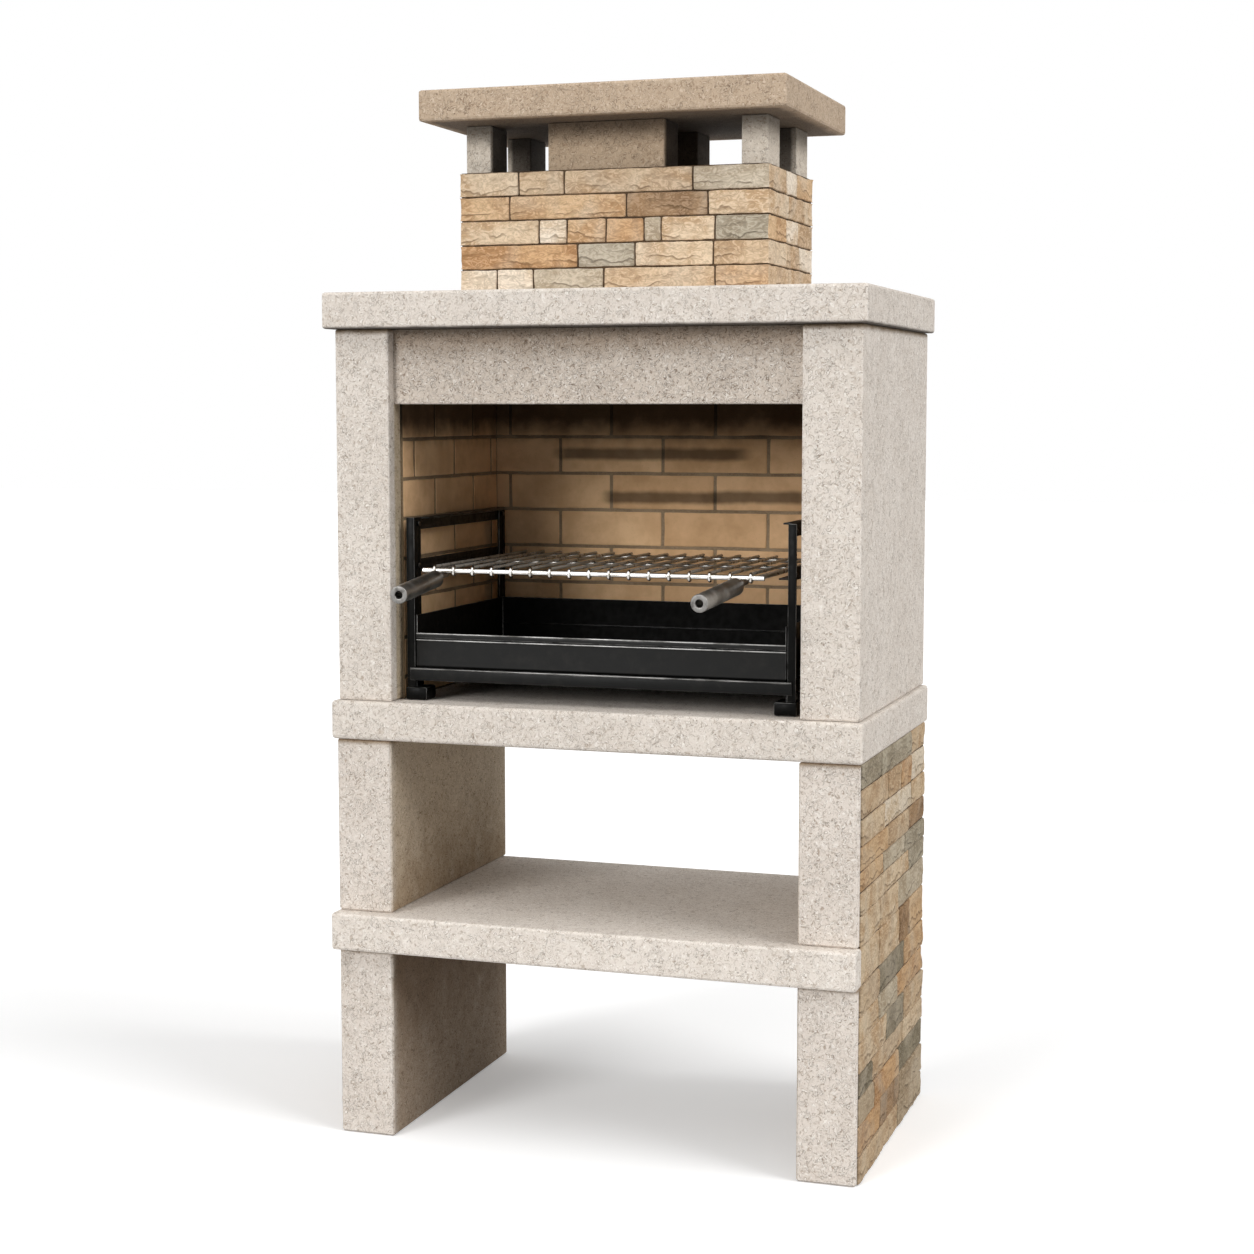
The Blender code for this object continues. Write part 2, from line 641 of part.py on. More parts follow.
def bolt(name, side, place):
    """A hexagon bolt along X, with its head on the inside of the post and its nut outside the rail."""
    post_x = side * POST_INNER_X
    rail_x = side * RAIL_OUTER_X
    head_x = post_x - side * (SEAT + BOLT_HEAD_RISE)
    nut_x = rail_x + side * (SEAT + NUT_RISE)
    end_x = nut_x + side * BOLT_END
    turn = (0, math.pi / 2, 0)

    def rod(radius, near_x, far_x, corners):
        bpy.ops.mesh.primitive_cylinder_add(
            vertices=corners, radius=radius, depth=abs(far_x - near_x), rotation=turn,
            location=((near_x + far_x) / 2, place[1], place[2]))
        return bpy.context.object

    shank = adopt(rod(BOLT_RADIUS, head_x + side * BOLT_HEAD_RISE / 2, end_x, 12), name, BRIGHT_STEEL)
    head = set_aside(rod(BOLT_HEAD_RADIUS, head_x, post_x - side * SEAT, 6), "head_" + name)
    nut = set_aside(rod(BOLT_HEAD_RADIUS, rail_x + side * SEAT, nut_x, 6), "nut_" + name)
    boolean(shank, head, "UNION")
    boolean(shank, nut, "UNION")
    return shank


def rail_bolt_places(side, mid_z):
    """Where a rail is bolted to its front and its back post."""
    inset = POST_DEPTH * BOLT_PLACE_SHARE
    x = side * (POST_INNER_X + POST_OUTER_X) / 2
    return {"front": (x, FRAME_Y + inset, mid_z), "back": (x, FRAME_BACK_Y - inset, mid_z)}


def build_frame():
    """Posts on feet, rails at three heights, and the bolts that hold the grate's two rails."""
    post_z = WORKTOP_TOP_Z + SEAT + FOOT_PAD + SEAT
    posts = {}
    for row, end in ENDS.items():
        for side_name, side in SIDES.items():
            low_x, high_x = span(side, POST_INNER_X, POST_OUTER_X)
            low_y = FRAME_Y if end < 0 else FRAME_BACK_Y - POST_DEPTH
            high = (high_x, low_y + POST_DEPTH, TOP_RAIL_TOP_Z)
            posts[row, side_name] = angle_iron(
                f"frame_post_{row}_{side_name}", (low_x, low_y, post_z), high,
                kept=((0, end, 0), (-side, 0, 0)))
            build_foot(row, end, side_name, side)
    rail_low_y = FRAME_Y + STEEL + SEAT
    rail_high_y = FRAME_BACK_Y - STEEL - SEAT
    rails = (
        ("tray_runner", LOW_RAIL_Z, RAIL_EDGE_X, 1, False),
        ("grate_rail", GRATE_RAIL_Z, GRATE_RAIL_EDGE_X, -1, True),
        ("top_rail", TOP_RAIL_TOP_Z - RAIL_LEG, RAIL_EDGE_X, 1, True),
    )
    cope_depth = POST_DEPTH + SEAT
    for label, low_z, edge_x, flange, bolted in rails:
        for side_name, side in SIDES.items():
            low_x, high_x = span(side, edge_x, RAIL_OUTER_X)
            rail = angle_iron(
                f"{label}_{side_name}", (low_x, rail_low_y, low_z), (high_x, rail_high_y, low_z + RAIL_LEG),
                kept=((side, 0, 0), (0, 0, flange)))
            cope_x = span(side, edge_x - OVERRUN, POST_INNER_X + STEEL + SEAT)
            for end_y, cope_y in ((FRAME_Y, FRAME_Y + cope_depth), (FRAME_BACK_Y, FRAME_BACK_Y - cope_depth)):
                cut_box(
                    rail, (cope_x[0], min(end_y, cope_y), low_z - OVERRUN),
                    (cope_x[1], max(end_y, cope_y), low_z + RAIL_LEG + OVERRUN))
            if not bolted:
                continue
            for row, place in rail_bolt_places(side, low_z + RAIL_LEG / 2).items():
                bolt_hole(rail, place)
                bolt_hole(posts[row, side_name], place)
                bolt(f"{label}_bolt_{row}_{side_name}", side, place)
    build_low_rails()


def build_foot(row, end, side_name, side):
    """A foot: a block under the post and a tab that stands against its side."""
    low_z = WORKTOP_TOP_Z + SEAT
    outer_x = POST_OUTER_X + FOOT_OVERHANG
    low_x, high_x = span(side, outer_x - FOOT_WIDTH, outer_x)
    edge_y = FRAME_Y - FOOT_OVERHANG if end < 0 else FRAME_BACK_Y + FOOT_OVERHANG
    far_y = edge_y - end * FOOT_DEPTH
    foot = adopt(
        raw_box((low_x, min(edge_y, far_y), low_z), (high_x, max(edge_y, far_y), low_z + FOOT_PAD)),
        f"foot_{row}_{side_name}", BLACK_STEEL)
    round_edges(foot, FOOT_EDGE, 2)
    tab_x = span(side, POST_INNER_X - SEAT - STEEL, POST_INNER_X - SEAT)
    near_y = FRAME_Y + STEEL if end < 0 else FRAME_BACK_Y - STEEL
    deep_y = near_y - end * (POST_DEPTH - STEEL)
    add_box(
        foot, (tab_x[0], min(near_y, deep_y), low_z + FOOT_PAD / 2),
        (tab_x[1], max(near_y, deep_y), low_z + FOOT_TAB_RISE))


def build_low_rails():
    """The rails across the front and the back of the frame, under the tray."""
    rail_x = POST_OUTER_X - LOW_RAIL_OVERHANG
    for row, end in ENDS.items():
        face_y = FRAME_Y - SEAT - STEEL if end < 0 else FRAME_BACK_Y + SEAT + STEEL
        inner_y = face_y - end * RAIL_LEG
        high = (rail_x, max(face_y, inner_y), LOW_RAIL_TOP_Z)
        rail = angle_iron(
            f"low_rail_{row}", (-rail_x, min(face_y, inner_y), LOW_RAIL_Z), high,
            kept=((0, end, 0), (0, 0, 1)))
        clear_y = face_y - end * (STEEL + SEAT / 2)
        past_y = inner_y - end * OVERRUN
        for side in SIDES.values():
            low_x, high_x = span(side, POST_INNER_X - SEAT, rail_x + OVERRUN)
            cut_box(
                rail, (low_x, min(clear_y, past_y), LOW_RAIL_Z - OVERRUN),
                (high_x, max(clear_y, past_y), LOW_RAIL_TOP_Z + OVERRUN))


def build_tray():
    """The charcoal tray: a sheet steel box, lower at the front, where its edge is hemmed."""
    half = POST_INNER_X - TRAY_SIDE_GAP
    low = (-half, TRAY_Y, TRAY_Z)
    high = (half, TRAY_BACK_Y, TRAY_Z + TRAY_WALL_RISE)
    tray = adopt(raw_box(low, high), "charcoal_tray", TRAY_STEEL)
    work = bmesh.new()
    work.from_mesh(tray.data)
    lid = [face for face in work.faces if face.normal.z > 0.5]
    bmesh.ops.delete(work, geom=lid, context="FACES")
    work.to_mesh(tray.data)
    work.free()
    sheet = tray.modifiers.new("sheet", "SOLIDIFY")
    sheet.thickness = TRAY_SHEET
    sheet.offset = -1
    sheet.use_even_offset = True
    front_top = TRAY_Z + TRAY_FRONT_RISE
    inner = half - TRAY_SHEET
    cut_box(
        tray, (-inner, TRAY_Y - OVERRUN, front_top),
        (inner, TRAY_Y + TRAY_SHEET + OVERRUN, high[2] + OVERRUN))
    add_box(
        tray, (-half, TRAY_Y - HEM_PROUD, front_top - HEM_RISE), (half, TRAY_Y + TRAY_SHEET / 2, front_top))
    return tray


def wire_mesh(name, points, radius, closed=False, resolution=1):
    """A round wire through points, as a closed mesh."""
    curve = bpy.data.curves.new(name, "CURVE")
    curve.dimensions = "3D"
    curve.bevel_depth = radius
    curve.bevel_resolution = resolution
    curve.use_fill_caps = True
    line = curve.splines.new("POLY")
    line.points.add(len(points) - 1)
    line.use_cyclic_u = closed
    for point, place in zip(line.points, points):
        point.co = (*place, 1)
    guide = bpy.data.objects.new(name, curve)
    bpy.context.scene.collection.objects.link(guide)
    bpy.context.view_layer.update()
    evaluated = guide.evaluated_get(bpy.context.evaluated_depsgraph_get())
    mesh = bpy.data.meshes.new_from_object(evaluated)
    bpy.data.objects.remove(guide)
    work = bmesh.new()
    work.from_mesh(mesh)
    bmesh.ops.remove_doubles(work, verts=work.verts, dist=radius / 100)
    bmesh.ops.recalc_face_normals(work, faces=work.faces)
    work.to_mesh(mesh)
    work.free()
    return mesh


def grate_frame_points():
    """The grate's outer wire: a rectangle with round corners."""
    depth = GRATE_BACK_Y - GRATE_Y
    middle = Vector((0, GRATE_Y + depth / 2, GRATE_Z))
    points = []
    for turn in range(4):
        sign_x = (1, -1, -1, 1)[turn]
        sign_y = (1, 1, -1, -1)[turn]
        centre = middle + Vector((sign_x * (GRATE_X - GRATE_CORNER), sign_y * (depth / 2 - GRATE_CORNER), 0))
        for step in range(CORNER_STEPS + 1):
            angle = math.pi / 2 * (turn + step / CORNER_STEPS)
            points.append(centre + GRATE_CORNER * Vector((math.cos(angle), math.sin(angle), 0)))
    return points


def rod_points():
    """A rod across the grate, from behind the back bar to its end wrapped down the front bar."""
    reach = BAR_RADIUS + ROD_RADIUS - WELD
    points = [Vector((0, GRATE_BACK_Y + ROD_TAIL, ROD_Z))]
    for step in range(WRAP_STEPS + 1):
        angle = WRAP_START + (WRAP_END - WRAP_START) * step / WRAP_STEPS
        points.append(Vector((0, GRATE_Y + reach * math.cos(angle), GRATE_Z + reach * math.sin(angle))))
    return points


def build_grate():
    """The cooking grate: a wire frame, rods wrapped over its front bar, and a rod under them."""
    outer_wire = wire_mesh("grate_frame", grate_frame_points(), BAR_RADIUS, closed=True)
    frame = bpy.data.objects.new("cooking_grate", outer_wire)
    bpy.context.scene.collection.objects.link(frame)
    adopt(frame, "cooking_grate", BRIGHT_STEEL)
    one_rod = wire_mesh("grate_rod", rod_points(), ROD_RADIUS)
    work = bmesh.new()
    for index in range(ROD_COUNT):
        copy = one_rod.copy()
        copy.transform(Matrix.Translation((ROD_PITCH * index - LAST_ROD_X, 0, 0)))
        work.from_mesh(copy)
        bpy.data.meshes.remove(copy)
    rods = bpy.data.meshes.new("grate_rods")
    work.to_mesh(rods)
    work.free()
    rods_tool = bpy.data.objects.new("grate_rods", rods)
    bpy.context.scene.collection.objects.link(rods_tool)
    boolean(frame, set_aside(rods_tool, "grate_rods"), "UNION")
    cross_z = ROD_Z - 2 * ROD_RADIUS + WELD
    cross_y = GRATE_Y + (GRATE_BACK_Y - GRATE_Y) * CROSS_ROD_SHARE
    cross_points = [(-GRATE_X, cross_y, cross_z), (GRATE_X, cross_y, cross_z)]
    cross = wire_mesh("grate_cross_rod", cross_points, ROD_RADIUS)
    cross_tool = bpy.data.objects.new("grate_cross_rod", cross)
    bpy.context.scene.collection.objects.link(cross_tool)
    boolean(frame, set_aside(cross_tool, "grate_cross_rod"), "UNION")
    return frame


def handle_profile():
    """Half the outline of a handle about its own axis, from the bore in its end to its spigot."""
    length = HANDLE_LENGTH
    return (
        (0, length - HANDLE_HOLE_DEPTH),
        (HANDLE_HOLE_RADIUS, length - HANDLE_HOLE_DEPTH),
        (HANDLE_HOLE_RADIUS, length),
        (HANDLE_RADIUS - HANDLE_EDGE, length),
        (HANDLE_RADIUS, length - HANDLE_EDGE),
        (HANDLE_RADIUS, HANDLE_NECK + HANDLE_CONE),
        (HANDLE_SPIGOT_RADIUS, HANDLE_NECK),
        (HANDLE_SPIGOT_RADIUS, -HANDLE_TAIL),
        (0, -HANDLE_TAIL),
    )


def build_handles():
    """Two turned handles whose spigots pass under the grate's front bar."""
    for side_name, side in SIDES.items():
        mesh = bpy.data.meshes.new("handle")
        outline = handle_profile()
        lines = [(i, i + 1) for i in range(len(outline) - 1)]
        mesh.from_pydata([(x, 0, z) for x, z in outline], lines, [])
        handle = bpy.data.objects.new("handle", mesh)
        bpy.context.scene.collection.objects.link(handle)
        adopt(handle, f"handle_{side_name}", HANDLE_STEEL)
        turned = handle.modifiers.new("turned", "SCREW")
        turned.steps = 20
        turned.render_steps = 20
        turned.use_merge_vertices = True
        turned.merge_threshold = HANDLE_EDGE / 50
        turned.use_smooth_shade = True
        ahead = Vector((
            -side * math.sin(HANDLE_SPLAY) * math.cos(HANDLE_TILT),
            -HANDLE_AHEAD,
            -math.sin(HANDLE_TILT)))
        handle.rotation_mode = "QUATERNION"
        handle.rotation_quaternion = Vector((0, 0, 1)).rotation_difference(ahead)
        drop = SEAT + (BAR_RADIUS + HANDLE_SPIGOT_RADIUS) / math.cos(HANDLE_TILT)
        handle.location = (side * HANDLE_X, GRATE_Y, GRATE_Z - drop)


build_legs()
build_side_facing()
build_slabs()
build_firebox()
build_lining()
build_chimney()
build_cap()
build_frame()
build_tray()
build_grate()
build_handles()
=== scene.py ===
from collections import namedtuple
from functools import cached_property
from itertools import accumulate
import math

import bmesh
import bpy
from mathutils import Matrix, Vector


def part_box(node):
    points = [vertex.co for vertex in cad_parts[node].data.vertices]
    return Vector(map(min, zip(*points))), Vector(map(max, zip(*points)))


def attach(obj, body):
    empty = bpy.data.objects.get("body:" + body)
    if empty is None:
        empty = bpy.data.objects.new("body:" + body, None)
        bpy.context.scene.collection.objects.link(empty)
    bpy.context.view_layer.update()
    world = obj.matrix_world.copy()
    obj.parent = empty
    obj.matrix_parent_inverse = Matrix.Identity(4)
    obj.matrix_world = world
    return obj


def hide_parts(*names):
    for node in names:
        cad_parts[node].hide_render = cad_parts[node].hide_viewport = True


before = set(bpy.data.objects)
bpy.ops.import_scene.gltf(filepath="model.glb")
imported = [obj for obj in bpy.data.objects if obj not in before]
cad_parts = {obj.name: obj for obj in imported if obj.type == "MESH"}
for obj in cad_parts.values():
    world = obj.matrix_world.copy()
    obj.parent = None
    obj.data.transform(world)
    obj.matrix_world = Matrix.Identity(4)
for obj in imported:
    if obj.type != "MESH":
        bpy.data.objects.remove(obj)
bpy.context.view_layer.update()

# Outdoor masonry barbecue: cast concrete, split stone, fire brick and a loose steel frame.
# Metres, +Z up, front towards -Y.
SIDES = {"left": -1, "right": 1}
UP = Vector((0, 0, 1))
ROUND_STEPS = 2
ROUND_ANGLE = math.radians(40)
SHADE_ANGLE = math.radians(50)

# Camera
CAMERA_PLACE = (1.3673, -4.0504, 1.4066)
CAMERA_DROP = 0.09732
CAMERA_TURN = 0.32254
CAMERA_LENS = 64.21

# Light: each lamp's level, and its softness and turn in degrees
SKY_LEVEL = 0.42
LAMPS = {
    "key": (1.86, 24, (73.5, 0, -22)),
    "fill": (2.00, 40, (55, 0, 80)),
    "top": (0.46, 50, (30, 0, -16)),
}
FLOOR_SIZE = 60
FLOOR_DROP = 0.0006
FLOOR_GLOW = 0.21
FLOOR_PALE = 0.93
FLOOR_BOUNCE = 0.42

# Stone facing of the legs
FACING_RELIEF = 0.0055
FACING_SLAB = 0.027
FACING_BED_INSET = 0.004
STONE_JOINT = 0.0020
STONE_CELL = 0.0094
STONE_ROUND = 0.0028
STONE_PROUD = 0.0009

# Chimney
CHIMNEY_SLAB = 0.030
CHIMNEY_CELL = 0.0102
CHIMNEY_WALL = 0.085
CHIMNEY_BED = 0.0025

# Brick lining
BRICK_RISE = 0.076
FIRST_BRICK_RISE = 0.042
BACK_PITCH = 0.225
BACK_START = 0.049
SIDE_PITCH = 0.198
SIDE_START = 0.056
BRICK_JOINT = 0.0058
BRICK_CELL = 0.012
BRICK_SKIN = 0.008
BRICK_ROUND = 0.0020
MORTAR_DEPTH = 0.0012

# Grate
BAR_RADIUS = 0.0047
BAR_CORNERS = 16
ROD_RADIUS = 0.003
ROD_CORNERS = 12
ROD_COUNT = 17
ROD_MARGIN = 0.0365
ROD_TAIL = 0.006
WELD = 0.0006
SEAT = 0.0003
GRATE_CORNER = 0.012
GRATE_CORNER_STEPS = 6
CROSS_SHARE = 0.52
WRAP_TURN = math.radians(215)
WRAP_STEPS = 14
WIRE_MERGE = 0.00005

# Handles
HANDLE_RADIUS = 0.016
HANDLE_LENGTH = 0.233
HANDLE_CORNERS = 48
HANDLE_NECK = 0.008
HANDLE_CONE = 0.034
HANDLE_TAIL = 0.022
HANDLE_SPIGOT = 0.005
HANDLE_BORE = 0.007
HANDLE_BORE_DEPTH = 0.040
HANDLE_RIM_SHARES = (0.55, 0.45)
HANDLE_RIM_DEPTH = 0.004
HANDLE_ROUND = 0.0016
HANDLE_ROUND_STEPS = 4
HANDLE_ROUND_ANGLE = math.radians(25)
HANDLE_SHADE_ANGLE = math.radians(30)
HANDLE_TILT = math.radians(4.4)
HANDLE_SPLAY = math.radians(3.2)
HANDLE_PLACE_SHARE = 0.40

# Steel sections and the tray
STEEL_EDGE = 0.0009
STEEL_MERGE = 0.00002
STEEL_FLAT_ANGLE = math.radians(2)
STEEL_ROUND_ANGLE = math.radians(30)
STEEL_SHADE_ANGLE = math.radians(40)
TRAY_FRONT_RISE = 0.067
TRAY_SKIN = 0.001
TRAY_SHEET = 0.002
TRAY_FOLD_ROUND = 0.0055
TRAY_FOLD_STEPS = 4
FOLD_RISE = 0.048
HEM_RISE = 0.0125
BEAD_RISE = 0.0026
BEAD_PROUD = 0.0010
BEAD_STEPS = 3
RAIL_LINE_DROP = 0.0005
BOLT_EDGE = 0.0004

# Side facing, from the floor up: each course's rise, its upright joints from the front, its stones
LOWER_RISE_SHARES = (0.139, 0.156, 0.143, 0.121, 0.157, 0.134, 0.150)
UPPER_RISE_SHARES = (0.172, 0.127, 0.115, 0.135, 0.146, 0.161, 0.144)
FACING_JOINT_SHARES = (
    (0.32, 0.60), (0.32, 0.61), (0.22, 0.60), (0.19, 0.67), (0.40, 0.67), (0.28, 0.57), (0.28, 0.68),
    (0.28, 0.59, 0.76),
    (0.28, 0.57), (0.34, 0.74), (0.33, 0.67), (0.40, 0.72), (0.34, 0.78), (0.40, 0.59, 0.76), (0.28, 0.76),
)
FACING_STONES = (
    ("tan", "tan", "grey_tan"),
    ("orange", "brown", "grey_tan"),
    ("grey_tan", "orange", "dark_grey"),
    ("dark_grey", "tan", "beige"),
    ("beige", "dark_grey", "tan"),
    ("beige", "grey_beige", "orange"),
    ("tan", "dark_grey", "ochre"),
    ("beige", "beige", "brown", "ochre"),
    ("beige", "beige", "grey_beige"),
    ("beige", "beige", "grey"),
    ("ochre", "grey_beige", "grey"),
    ("ochre", "tan", "brown"),
    ("beige", "cream", "beige"),
    ("tan", "tan", "orange", "cream"),
    ("grey", "grey", "tan"),
)

# Chimney, from the mantel up
CHIMNEY_FRONT_SHARES = (
    (0.122, 0.243, 0.475, 0.831),
    (0.390, 0.576, 0.826),
    (0.263, 0.355, 0.482, 0.605, 0.660, 0.831),
    (0.166, 0.549, 0.809),
    (0.196, 0.347, 0.761),
)
CHIMNEY_SIDE_SHARES = ((0.45,), (0.42, 0.70), (0.40, 0.66), (0.45, 0.80), (0.40, 0.64))
CHIMNEY_STONES = (
    ("cream", "cream", "grey_beige", "tan", "ochre"),
    ("orange", "grey", "beige", "tan"),
    ("beige", "cream", "ochre", "orange", "grey_beige", "beige", "grey"),
    ("ochre", "ochre", "brown", "beige"),
    ("beige", "tan", "tan", "grey_beige"),
)
CHIMNEY_SIDE_STONES = (("tan",), ("tan", "cream"), ("cream", "tan"), ("tan", "beige"), ("cream", "ochre"))
# Tone of a corner stone where it turns onto a side
CHIMNEY_TURN_STONES = ("tan", "beige", "ochre", "beige", "tan")

# Where a split stone's ledges run, as a share of its rise, with their pattern's scale, wander and strength
STONE_LEDGES = ((0.30, 16.0, 1.1, 1.0), (0.68, 22.0, 0.9, 0.40))

# Tones as a screen shows them, from 0 to 255: light and dark of each stone
STONE_TONES = {
    "cream": ((232, 218, 199), (210, 187, 158)),
    "beige": ((219, 197, 168), (192, 161, 126)),
    "grey_beige": ((200, 187, 166), (174, 157, 133)),
    "tan": ((208, 183, 152), (181, 151, 118)),
    "grey_tan": ((188, 169, 144), (156, 136, 110)),
    "ochre": ((210, 178, 140), (184, 147, 108)),
    "orange": ((202, 164, 122), (174, 133, 93)),
    "grey": ((182, 172, 153), (152, 140, 120)),
    "dark_grey": ((148, 137, 116), (116, 105, 86)),
    "brown": ((168, 137, 104), (136, 106, 76)),
}
BLEACHED_STONE = (206, 194, 176)

# Base, light, dark and pit of each concrete
SHELL_TONES = ((220, 211, 201), (243, 238, 231), (169, 153, 137), (114, 96, 78))
LEG_TONES = ((219, 209, 199), (243, 238, 231), (158, 141, 124), (110, 92, 74))
# The shelf's tones are lighter than the other slabs': painted light for its top, which lies in the worktop's
# shade
PAINTED_LIGHT_SHELF_TONES = ((226, 217, 207), (248, 243, 236), (178, 162, 146), (114, 96, 78))
LINTEL_TONES = ((217, 206, 194), (250, 246, 240), (132, 114, 96), (90, 72, 55))
CAP_TONES = ((189, 168, 145), (216, 198, 177), (146, 122, 98), (92, 71, 52))
POST_TONES = ((212, 201, 186), (232, 224, 212), (170, 153, 134), (98, 82, 66))
# The blocks' tones: their own tan, darkened as painted shade under the cap
SHADED_BLOCK_TONES = ((182, 160, 135), (206, 186, 162), (144, 120, 96), (88, 68, 50))
SHELL_SCALE = 104.0
SHELL_PIT_SHARE = 0.07
LINTEL_PIT_SHARE = 0.10

# Base and dark of each brick
BACK_BRICK_TONES = {
    "fire_brick": ((223, 184, 141), (202, 163, 122)),
    "fire_brick_light": ((228, 190, 146), (208, 169, 127)),
    "fire_brick_dark": ((217, 177, 134), (196, 157, 115)),
}
# The side bricks are lighter than the back ones: painted light against the shade that the pillars cast on the
# side walls
PAINTED_LIGHT_SIDE_BRICK_TONES = {
    "side_brick": ((236, 196, 151), (214, 174, 131)),
    "side_brick_light": ((240, 202, 157), (220, 181, 137)),
    "side_brick_dark": ((229, 189, 144), (207, 167, 124)),
}
BRICK_SPECK = (60, 44, 32)

# Each painted steel: paint, bare steel of its edges (worn, and partly a painted highlight), roughness, where
# wear breaks off, gloss, share of dust
PAINTED_STEELS = {
    "black_steel": ((14, 14, 13), (120, 119, 116), 0.40, 0.54, 0.12, 0.22),
    "post_steel": ((10, 10, 9), (120, 119, 116), 0.36, 0.50, 0.05, 0.14),
    "tray_steel": ((16, 16, 15), (130, 129, 126), 0.36, 0.50, 0.20, 0.20),
    "burnt_steel": ((9, 9, 8), (60, 58, 55), 0.62, 0.56, 0.04, 0.12),
}
PAINT_DUST = (52, 49, 45)

# Each bare steel: clean, stained, least and most roughness, scale of the stains, how metallic
BARE_STEELS = {
    # The next three are bare steel on edges and beads of the painted parts: partly wear, partly a painted
    # highlight
    "worn_highlight_steel": ((150, 149, 147), (74, 73, 70), 0.34, 0.48, 9.0, 1.0),
    "rail_highlight_steel": ((124, 123, 121), (62, 61, 59), 0.34, 0.48, 9.0, 1.0),
    "worn_highlight_edge_steel": ((112, 111, 109), (26, 25, 24), 0.34, 0.50, 22.0, 1.0),
    "bright_steel": ((226, 224, 221), (176, 171, 163), 0.16, 0.26, 12.0, 1.0),
    "rod_steel": ((150, 147, 141), (112, 108, 101), 0.24, 0.34, 10.0, 0.35),
    "bolt_steel": ((58, 56, 53), (34, 33, 31), 0.24, 0.38, 45.0, 1.0),
    "handle_steel": ((152, 149, 144), (120, 117, 112), 0.32, 0.44, 16.0, 1.0),
    "handle_rim": ((126, 124, 121), (90, 88, 85), 0.36, 0.46, 90.0, 1.0),
}

# Soot, weather, and painted shade
# Tints: soot with painted shade, soot, painted shade, pale painted shade, warm painted shade on the lintel,
# and weather dust
SOOT_AND_SHADE_BROWN = (70, 63, 57)
BLACK_SOOT = (38, 38, 42)
PAINTED_SHADE_BROWN = (160, 133, 92)
PALE_PAINTED_SHADE = (207, 186, 135)
WARM_PAINTED_SHADE = (175, 159, 141)
WEATHER = (229, 227, 222)
# Each smear on the back wall: where it starts and ends across, and its height
SMEARS = ((-0.235, 0.125, 1.313), (-0.130, 0.060, 1.223), (0.090, 0.255, 1.226))
SMEAR_RISE = 0.006
BRICK_SOOT_REACH = 0.03
FLUE_SOOT_AND_SHADE_RISE = 0.165
LINTEL_SHADE_RISE = 0.012
INNER_SHADE_INSET = 0.03
SLAB_SHADE_RISE = 0.002
VENT_SOOT_AND_SHADE_INSET = 0.014
CAP_SOOT_AND_SHADE_INSET = 0.03

# Each kind of soot, weather and painted shade: how far it fades along each axis, its share, its tint
SOOT_AND_SHADE_KINDS = {
    "flue": ((0.05, 0.05, 0.07), 0.95, SOOT_AND_SHADE_BROWN),
    "smear": ((0.045, 0.03, 0.012), 0.70, BLACK_SOOT),
    "lintel": ((0.02, 0.02, 0.02), 0.22, WARM_PAINTED_SHADE),
    "lintel_top": ((0.02, 0.02, 0.060), 0.72, WARM_PAINTED_SHADE),
    "slab_shade": ((0.02, 0.02, 0.011), 0.80, PAINTED_SHADE_BROWN),
    "lower_bay": ((0.004, 0.05, 0.05), 0.68, PAINTED_SHADE_BROWN),
    "lower_bay_top": ((0.004, 0.06, 0.30), 0.62, PAINTED_SHADE_BROWN),
    "upper_bay": ((0.004, 0.05, 0.05), 0.50, PALE_PAINTED_SHADE),
    "pillar": ((0.004, 0.01, 0.05), 0.60, PALE_PAINTED_SHADE),
    "mantel": ((0.01, 0.01, 0.005), 0.85, SOOT_AND_SHADE_BROWN),
    "vent": ((0.008, 0.008, 0.03), 0.82, SOOT_AND_SHADE_BROWN),
    "vent_top": ((0.02, 0.02, 0.050), 0.55, SOOT_AND_SHADE_BROWN),
    "cap": ((0.03, 0.03, 0.004), 0.72, SOOT_AND_SHADE_BROWN),
    "weather": ((0.02, 0.02, 0.02), 1.0, WEATHER),
}

# Worn edges, lightened partly as wear and partly as a painted highlight: how far in they reach, where wear
# breaks off, and the scale of the breaks
CONCRETE_WEAR_AND_HIGHLIGHT = (0.004, 0.37, 30.0)
STONE_WEAR_AND_HIGHLIGHT = (0.003, 0.36, 70.0)
BRICK_WEAR_AND_HIGHLIGHT = (0.003, 0.40, 60.0)
PAINT_WEAR_AND_HIGHLIGHT_RADIUS = 0.0014
PAINT_WEAR_AND_HIGHLIGHT_SCALE = 26.0
PAINT_EDGE_RADIUS = 0.0006

# Shaded relief: its depth in metres and its strength
CONCRETE_BUMP = (0.0015, 0.65)
STONE_BUMP = (0.0042, 0.70)
MORTAR_BUMP = (0.001, 0.7)
BRICK_BUMP = (0.0010, 0.6)
PAINT_BUMP = (0.0002, 0.35)
STEEL_BUMP = (0.00015, 0.4)


def firebox_soot_and_shade():
    """Soot of the firebox: darker towards the top under the lintel, partly soot and partly painted shade, and
    smears of soot across the back wall.
    """
    low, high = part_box("brick_lining_left")[0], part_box("brick_lining_right")[1]
    wall_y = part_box("brick_lining_back")[0].y
    top = Vector((low.x, low.y, high.z - FLUE_SOOT_AND_SHADE_RISE))
    layers = [("flue", top, (high.x, high.y + FLUE_SOOT_AND_SHADE_RISE, high.z))]
    for start, end, height in SMEARS:
        near = (start, wall_y - BRICK_SOOT_REACH, height - SMEAR_RISE)
        far = (end, wall_y + BRICK_SOOT_REACH, height + SMEAR_RISE)
        layers.append(("smear", near, far))
    return layers


def lintel_painted_shade():
    """Painted shade on the lintel, which lies back under the mantel: a little all over it, more under the
    mantel.
    """
    low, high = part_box("lintel")
    top = (low.x, low.y, high.z - LINTEL_SHADE_RISE)
    return [("lintel", low, high), ("lintel_top", top, high)]


